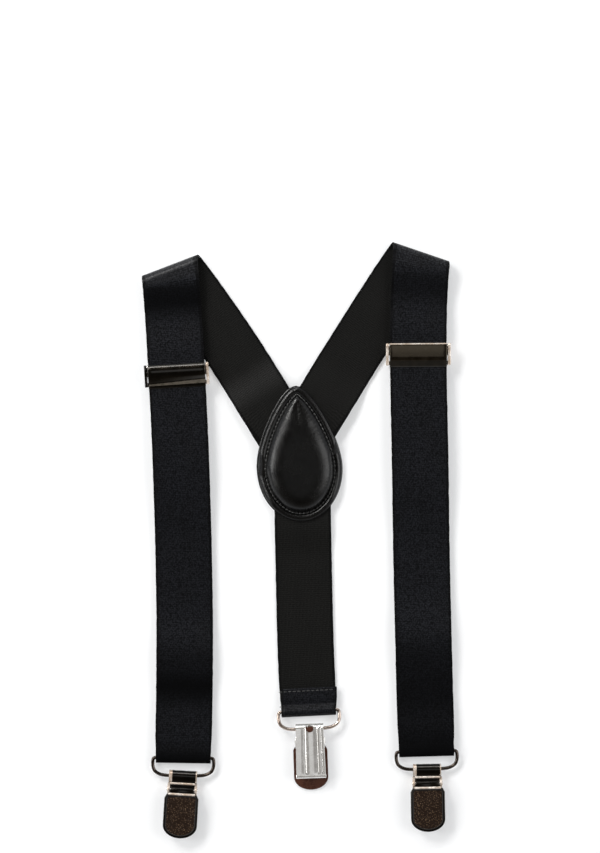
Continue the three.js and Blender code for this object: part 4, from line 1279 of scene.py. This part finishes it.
def clip_body(name, place):
    """Back plate curled round the wire, with its ears and biting lip, and a rod under the curl's end that on
    the front clips is pale to stand for the bright line there, a painted highlight.
    """
    front = name != "centre"
    rib, flat = PLATE_LOW, PLATE_WEB
    bm = clip_shell(front)
    for side in (-1, 1):
        ear = [(-8.4, flat + 0.2), (-3.3, flat + 0.2), (-3.3, 0.3), (-4.4, 1.6),
               *arc(PIN_Y, PIN_Z, 1.25, 30, 160, 12), (-8.4, 0.3)]
        inner, outer = BARREL_HALF - SHEET, BARREL_HALF + 0.4
        x0, x1 = (inner, outer) if side > 0 else (-outer, -inner)
        add_rounded(bm, 1, ear, x0, x1, 0.3, 4)
    rolled = [(-BODY_LENGTH + 0.4, rib + 0.3), (-BODY_LENGTH - 0.5, rib + 0.05),
              (-BODY_LENGTH - 1.15, rib + 0.45), (-BODY_LENGTH - 1.15, flat + 0.8),
              (-BODY_LENGTH - 0.4, flat + 0.8), (-BODY_LENGTH + 0.4, flat + 0.4)]
    add_rounded(bm, 1, rolled, -6.6, 6.6, 0.16, 3)
    add_teeth(bm, 1, tooth_line(6.0, flat + 0.9, 0.45), -BODY_LENGTH - 0.9, -BODY_LENGTH - 0.2)
    # painted highlight: a rod under the curl's end, pale on the front clips, standing for the bright line
    # seen there
    add_rod(bm, 1, 0.5, 5.5, -3.4, BARREL_RADIUS - 0.75)
    if not front:
        # painted shade: a thin dark sheet in the notch stands for the shade in the curl's hollow
        notch_shade_sheet = bmesh.new()
        block(notch_shade_sheet, -2.1, 2.1, -1.8, 1.0, -1.15, -1.0)
        join_in(bm, notch_shade_sheet, 2)
    settle(bm, place)
    finishes = ["black", "cream"] if front else ["nickel", "nickel", "smoked"]
    piece = finish_piece(f"{name}_clip_plate", bm, [FINISHES[f] for f in finishes], smooth=38)
    ride_for(piece, f"{name}_clip", f"{name}_clip_body")


def join_in(bm, other, finish=0):
    """Adds another bmesh's faces to this one, in the piece's numbered finish."""
    for face in other.faces:
        face.material_index = face.material_index or finish
    mesh = bpy.data.meshes.new("part")
    other.to_mesh(mesh)
    other.free()
    bm.from_mesh(mesh)
    bpy.data.meshes.remove(mesh)


def add_rounded(bm, finish, outline, x0, x1, width, segments):
    """Joins in a side view's solid with its edges rounded."""
    part = bmesh.new()
    side_view(part, outline, x0, x1)
    soften(part, width, segments)
    join_in(bm, part, finish)


def add_teeth(bm, finish, line, y0, y1):
    teeth = bmesh.new()
    end_view(teeth, line, y0, y1)
    join_in(bm, teeth, finish)


def add_rod(bm, finish, radius, half, y, z):
    edge = bmesh.new()
    rod(edge, radius, -half, half, y, z)
    join_in(bm, edge, finish)


def clip_jaw(name, place):
    """Toothed plate inside the clip, with the rod that it turns on."""
    half = LEVER_HALF
    tip = -BODY_LENGTH - JAW_Y
    bm = bmesh.new()
    plate = [(tip + 0.1, -0.35), (0.5, -0.35), (0.5, 0.35), (tip + 1.2, 0.35), (tip + 0.1, 0.1)]
    side_view(bm, plate, -half, half)
    soften(bm, 0.1)
    add_teeth(bm, 0, tooth_line(half - 0.2, -0.3, -0.3), tip + 0.1, tip + 0.8)
    rod(bm, PIN_RADIUS, -BARREL_HALF, BARREL_HALF, 0, 0)
    settle(bm, place @ Matrix.Translation((0, JAW_Y, JAW_Z)))
    finish = "nickel" if name == "centre" else "black"
    piece = finish_piece(f"{name}_jaw_plate", bm, [FINISHES[finish]], smooth=35)
    ride_for(piece, f"{name}_jaw", f"{name}_clip_jaw")


def tongue_outline(steps=26):
    """Plan of the tongue: chamfered shoulders, straight sides and an elliptical tip."""
    tip_length = 5.6
    centre = TONGUE_TIP + tip_length
    points = [(TONGUE_HALF, TONGUE_TOP - 1.7), (TONGUE_HALF - 0.9, TONGUE_TOP)]
    points += [(-x, y) for x, y in reversed(points)]
    for i in range(steps + 1):
        turn = math.pi + math.pi * i / steps
        points.append((TONGUE_HALF * math.cos(turn), centre + tip_length * math.sin(turn)))
    return points


def clip_lever(name, place):
    """The tongue with its raised smooth rim and sunk pebbled face, its arm, knuckle and cam."""
    low, high = TONGUE_Z, TONGUE_Z + TONGUE_SHEET
    bm = bmesh.new()
    drawn_out(bm, [(x, y, low) for x, y in tongue_outline()], (0, 0, high - low + 0.12))
    bmesh.ops.recalc_face_normals(bm, faces=bm.faces)
    face = max(bm.faces, key=lambda f: f.calc_center_median().z)
    round_edges(bm, list(face.edges), 0.32, 4)
    face = max(bm.faces, key=lambda f: f.calc_area() * (f.normal.z > 0.9))
    bmesh.ops.inset_region(bm, faces=[face], thickness=0.75, depth=0)
    bmesh.ops.inset_region(bm, faces=[face], thickness=0.22, depth=-0.2)
    face.material_index = 1
    back_finish = 3 if name == "centre" else 0
    for under in bm.faces:
        if under.calc_center_median().z < low + 0.05:
            under.material_index = back_finish
    arm = bmesh.new()
    shank = [(PIN_Y + 0.5, high - 0.1), (PIN_Y - 0.4, high), (TONGUE_TOP - 0.5, high),
             (TONGUE_TOP - 0.5, low), (PIN_Y - 0.3, low), (PIN_Y + 0.2, low)]
    side_view(arm, shank, -LEVER_HALF, LEVER_HALF)
    block(arm, -LEVER_HALF, LEVER_HALF, PIN_Y - 0.8, PIN_Y + 0.5, PIN_Z, low + 0.2)
    block(arm, -LEVER_HALF + 1, LEVER_HALF - 1, TONGUE_TOP - 1.5, TONGUE_TOP, PIN_Z - 1.15,
          low + 0.2)
    rod(arm, 0.95, -LEVER_HALF, LEVER_HALF, PIN_Y, PIN_Z)
    soften(arm, 0.12)
    join_in(bm, arm)
    # painted highlight: a pale rod along the tongue's top edge stands for the bright line seen there
    add_rod(bm, 2, 0.5, LEVER_HALF + 0.7, TONGUE_TOP + 0.1, high - 0.1)
    settle(bm, place)
    finishes = [FINISHES[f] for f in ("black", "tongue", "cream", "smoked")]
    piece = finish_piece(f"{name}_tongue", bm, finishes, smooth=38)
    ride_for(piece, f"{name}_lever", f"{name}_clip_lever")


def clip_pin(name, place):
    bm = bmesh.new()
    rod(bm, PIN_RADIUS, -BARREL_HALF - 0.5, BARREL_HALF + 0.5, PIN_Y, PIN_Z)
    for side in (-1, 1):
        x = side * (BARREL_HALF + 0.45)
        sized = Matrix.Diagonal((0.38, 0.85, 0.85, 1))
        bmesh.ops.create_uvsphere(bm, u_segments=20, v_segments=12, radius=1,
                                  matrix=Matrix.Translation((x, PIN_Y, PIN_Z)) @ sized)
    settle(bm, place)
    piece = finish_piece(f"{name}_hinge_pin", bm, [FINISHES["nickel"]], smooth=40)
    ride_for(piece, f"{name}_clip", f"{name}_clip_pin")


def clip_pieces():
    for name in ("left", "right", "centre"):
        wire_loop(name)
        up = -UP if name == "centre" else UP
        place = local_frame(f"{name}_clip_swing", 1, up)
        clip_body(name, place)
        clip_jaw(name, place)
        clip_lever(name, place)
        clip_pin(name, place)


# ======== adjusters ========
def adjuster_pieces():
    for name in ("left", "right"):
        place = adjuster_frame_matrix(name)
        adjuster_frame(name, place)
        adjuster_cover(name, place @ Matrix.Translation((0, COVER_PIN_Y, COVER_PIN_Z)))
        bm = bmesh.new()
        rod(bm, PIN_RADIUS, -WALL_INSIDE - 1.1, WALL_INSIDE + 1.1, COVER_PIN_Y, COVER_PIN_Z)
        soften(bm, 0.12)
        settle(bm, place)
        pin = finish_piece(f"{name}_cover_pin", bm, [FINISHES["nickel"]], smooth=40)
        ride_for(pin, f"{name}_adjuster", f"{name}_adjuster_pin")


def adjuster_frame(name, place):
    """Rolled side posts, the pressing plate under the strap, and the bar for the sewn end."""
    bar_low = WEB_THICK + 0.2
    bar_top = bar_low + 0.7
    pressing = LIFTED_HEIGHT - HALF_WEB - LAYER_GAP
    wall = [(-ADJUSTER_HALF - 0.2, bar_low), (ADJUSTER_HALF + 0.1, bar_low),
            (ADJUSTER_HALF + 0.1, COVER_PIN_Z),
            *arc(COVER_PIN_Y, COVER_PIN_Z, 1.05, 20, 150, 10),
            (COVER_PIN_Y - 1.6, COVER_PIN_Z + 0.35), (-ADJUSTER_HALF - 0.2, COVER_PIN_Z + 0.05)]
    bm = bmesh.new()
    for inner, outer in ((WALL_INSIDE + 0.2, WALL_INSIDE + 1.35),
                         (-WALL_INSIDE - 1.35, -WALL_INSIDE - 0.2)):
        outward = (place.to_3x3() @ Vector((inner, 0, 0))).x
        in_black = name == "left" and outward < 0
        add_rounded(bm, int(in_black), wall, inner, outer, 0.38, 4)
    rooted = WALL_INSIDE + 0.4
    bars = bmesh.new()
    block(bars, -rooted, rooted, -0.4, ADJUSTER_HALF, pressing - 0.7, pressing)
    block(bars, -rooted, rooted, -ADJUSTER_HALF, -ADJUSTER_HALF + 1.8, bar_low, bar_top)
    soften(bars, 0.2)
    join_in(bm, bars)
    settle(bm, place)
    piece = finish_piece(f"{name}_frame", bm, [FINISHES["cream"], FINISHES["black"]], smooth=40)
    ride_for(piece, f"{name}_adjuster", f"{name}_adjuster_frame")


# the cover plates' outer faces in a side view from the pin: y, z
COVER_LINES = {
    "left": [(0.15, 1.0), (-0.55, 1.29), (-1.2, 1.46), (-2.0, 1.52), (-3.0, 1.42), (-4.2, 1.15),
             (-5.2, 0.78), (-6.2, 0.22), (-6.9, -0.1), (-8.1, -0.38), (-9.5, -0.75)],
    "right": [(0, 1.0), (-1.4, 0.98), (-3.2, 0.86), (-4.8, 0.74), (-6.2, 0.62), (-6.6, 0.45),
              (-7.6, -0.05), (-8.8, -0.6), (-9.5, -0.95)],
}


def adjuster_cover(name, place):
    """Cover plate rolled over its pin, bent along a line, with its biting free edge."""
    half = WALL_INSIDE - 0.25
    face = COVER_LINES[name]
    outer = [*arc(0, 0, 1.0, -60, 44 if name == "left" else 84, 18), *face]
    inner = [(y + 0.12, z - 0.62) for y, z in reversed(face) if y < -1.6]
    inner += [(-1.3, -0.75), (-0.9, -0.95), (-0.2, -0.98)]
    bm = bmesh.new()
    side_view(bm, outer + inner, -half, half)
    cuts = [e for e in bm.edges if abs(e.verts[0].co.x - e.verts[1].co.x) > half]
    bmesh.ops.subdivide_edges(bm, edges=cuts, cuts=11, use_grid_fill=True)
    bm.normal_update()
    for part in bm.faces:
        middle = part.calc_center_median()
        if name == "left":
            # painted reflection: the left cover's lower band takes the paler olive finish
            in_painted_reflection = -8.1 < middle.y < -6.9 and middle.z > -0.5
            part.material_index = int(in_painted_reflection)
        elif middle.y < -6.5:
            part.material_index = 2
        else:
            part.material_index = int(middle.y > 0.55 and middle.z > 0)
    if name == "left":
        for v in bm.verts:
            bent = math.exp(-((v.co.y + 6.6) / 1.3) ** 2)
            v.co.y += 0.055 * v.co.x * bent
    soften(bm, 0.16, segments=3, sharpest=35)
    settle(bm, place)
    # the right cover's olive is a lighter painted copy of the covers' plating, a painted reflection
    plain, marked = ("black", "painted_reflection_band") if name == "left" else ("olive", "cream")
    finishes = [FINISHES[plain], FINISHES[marked], FINISHES["black"]]
    piece = finish_piece(f"{name}_cover_plate", bm, finishes, smooth=40)
    ride_for(piece, f"{name}_cover", f"{name}_adjuster_cover")


set_camera()
set_light()
lay_table()
strap_pieces()
patch_pieces()
clip_pieces()
adjuster_pieces()
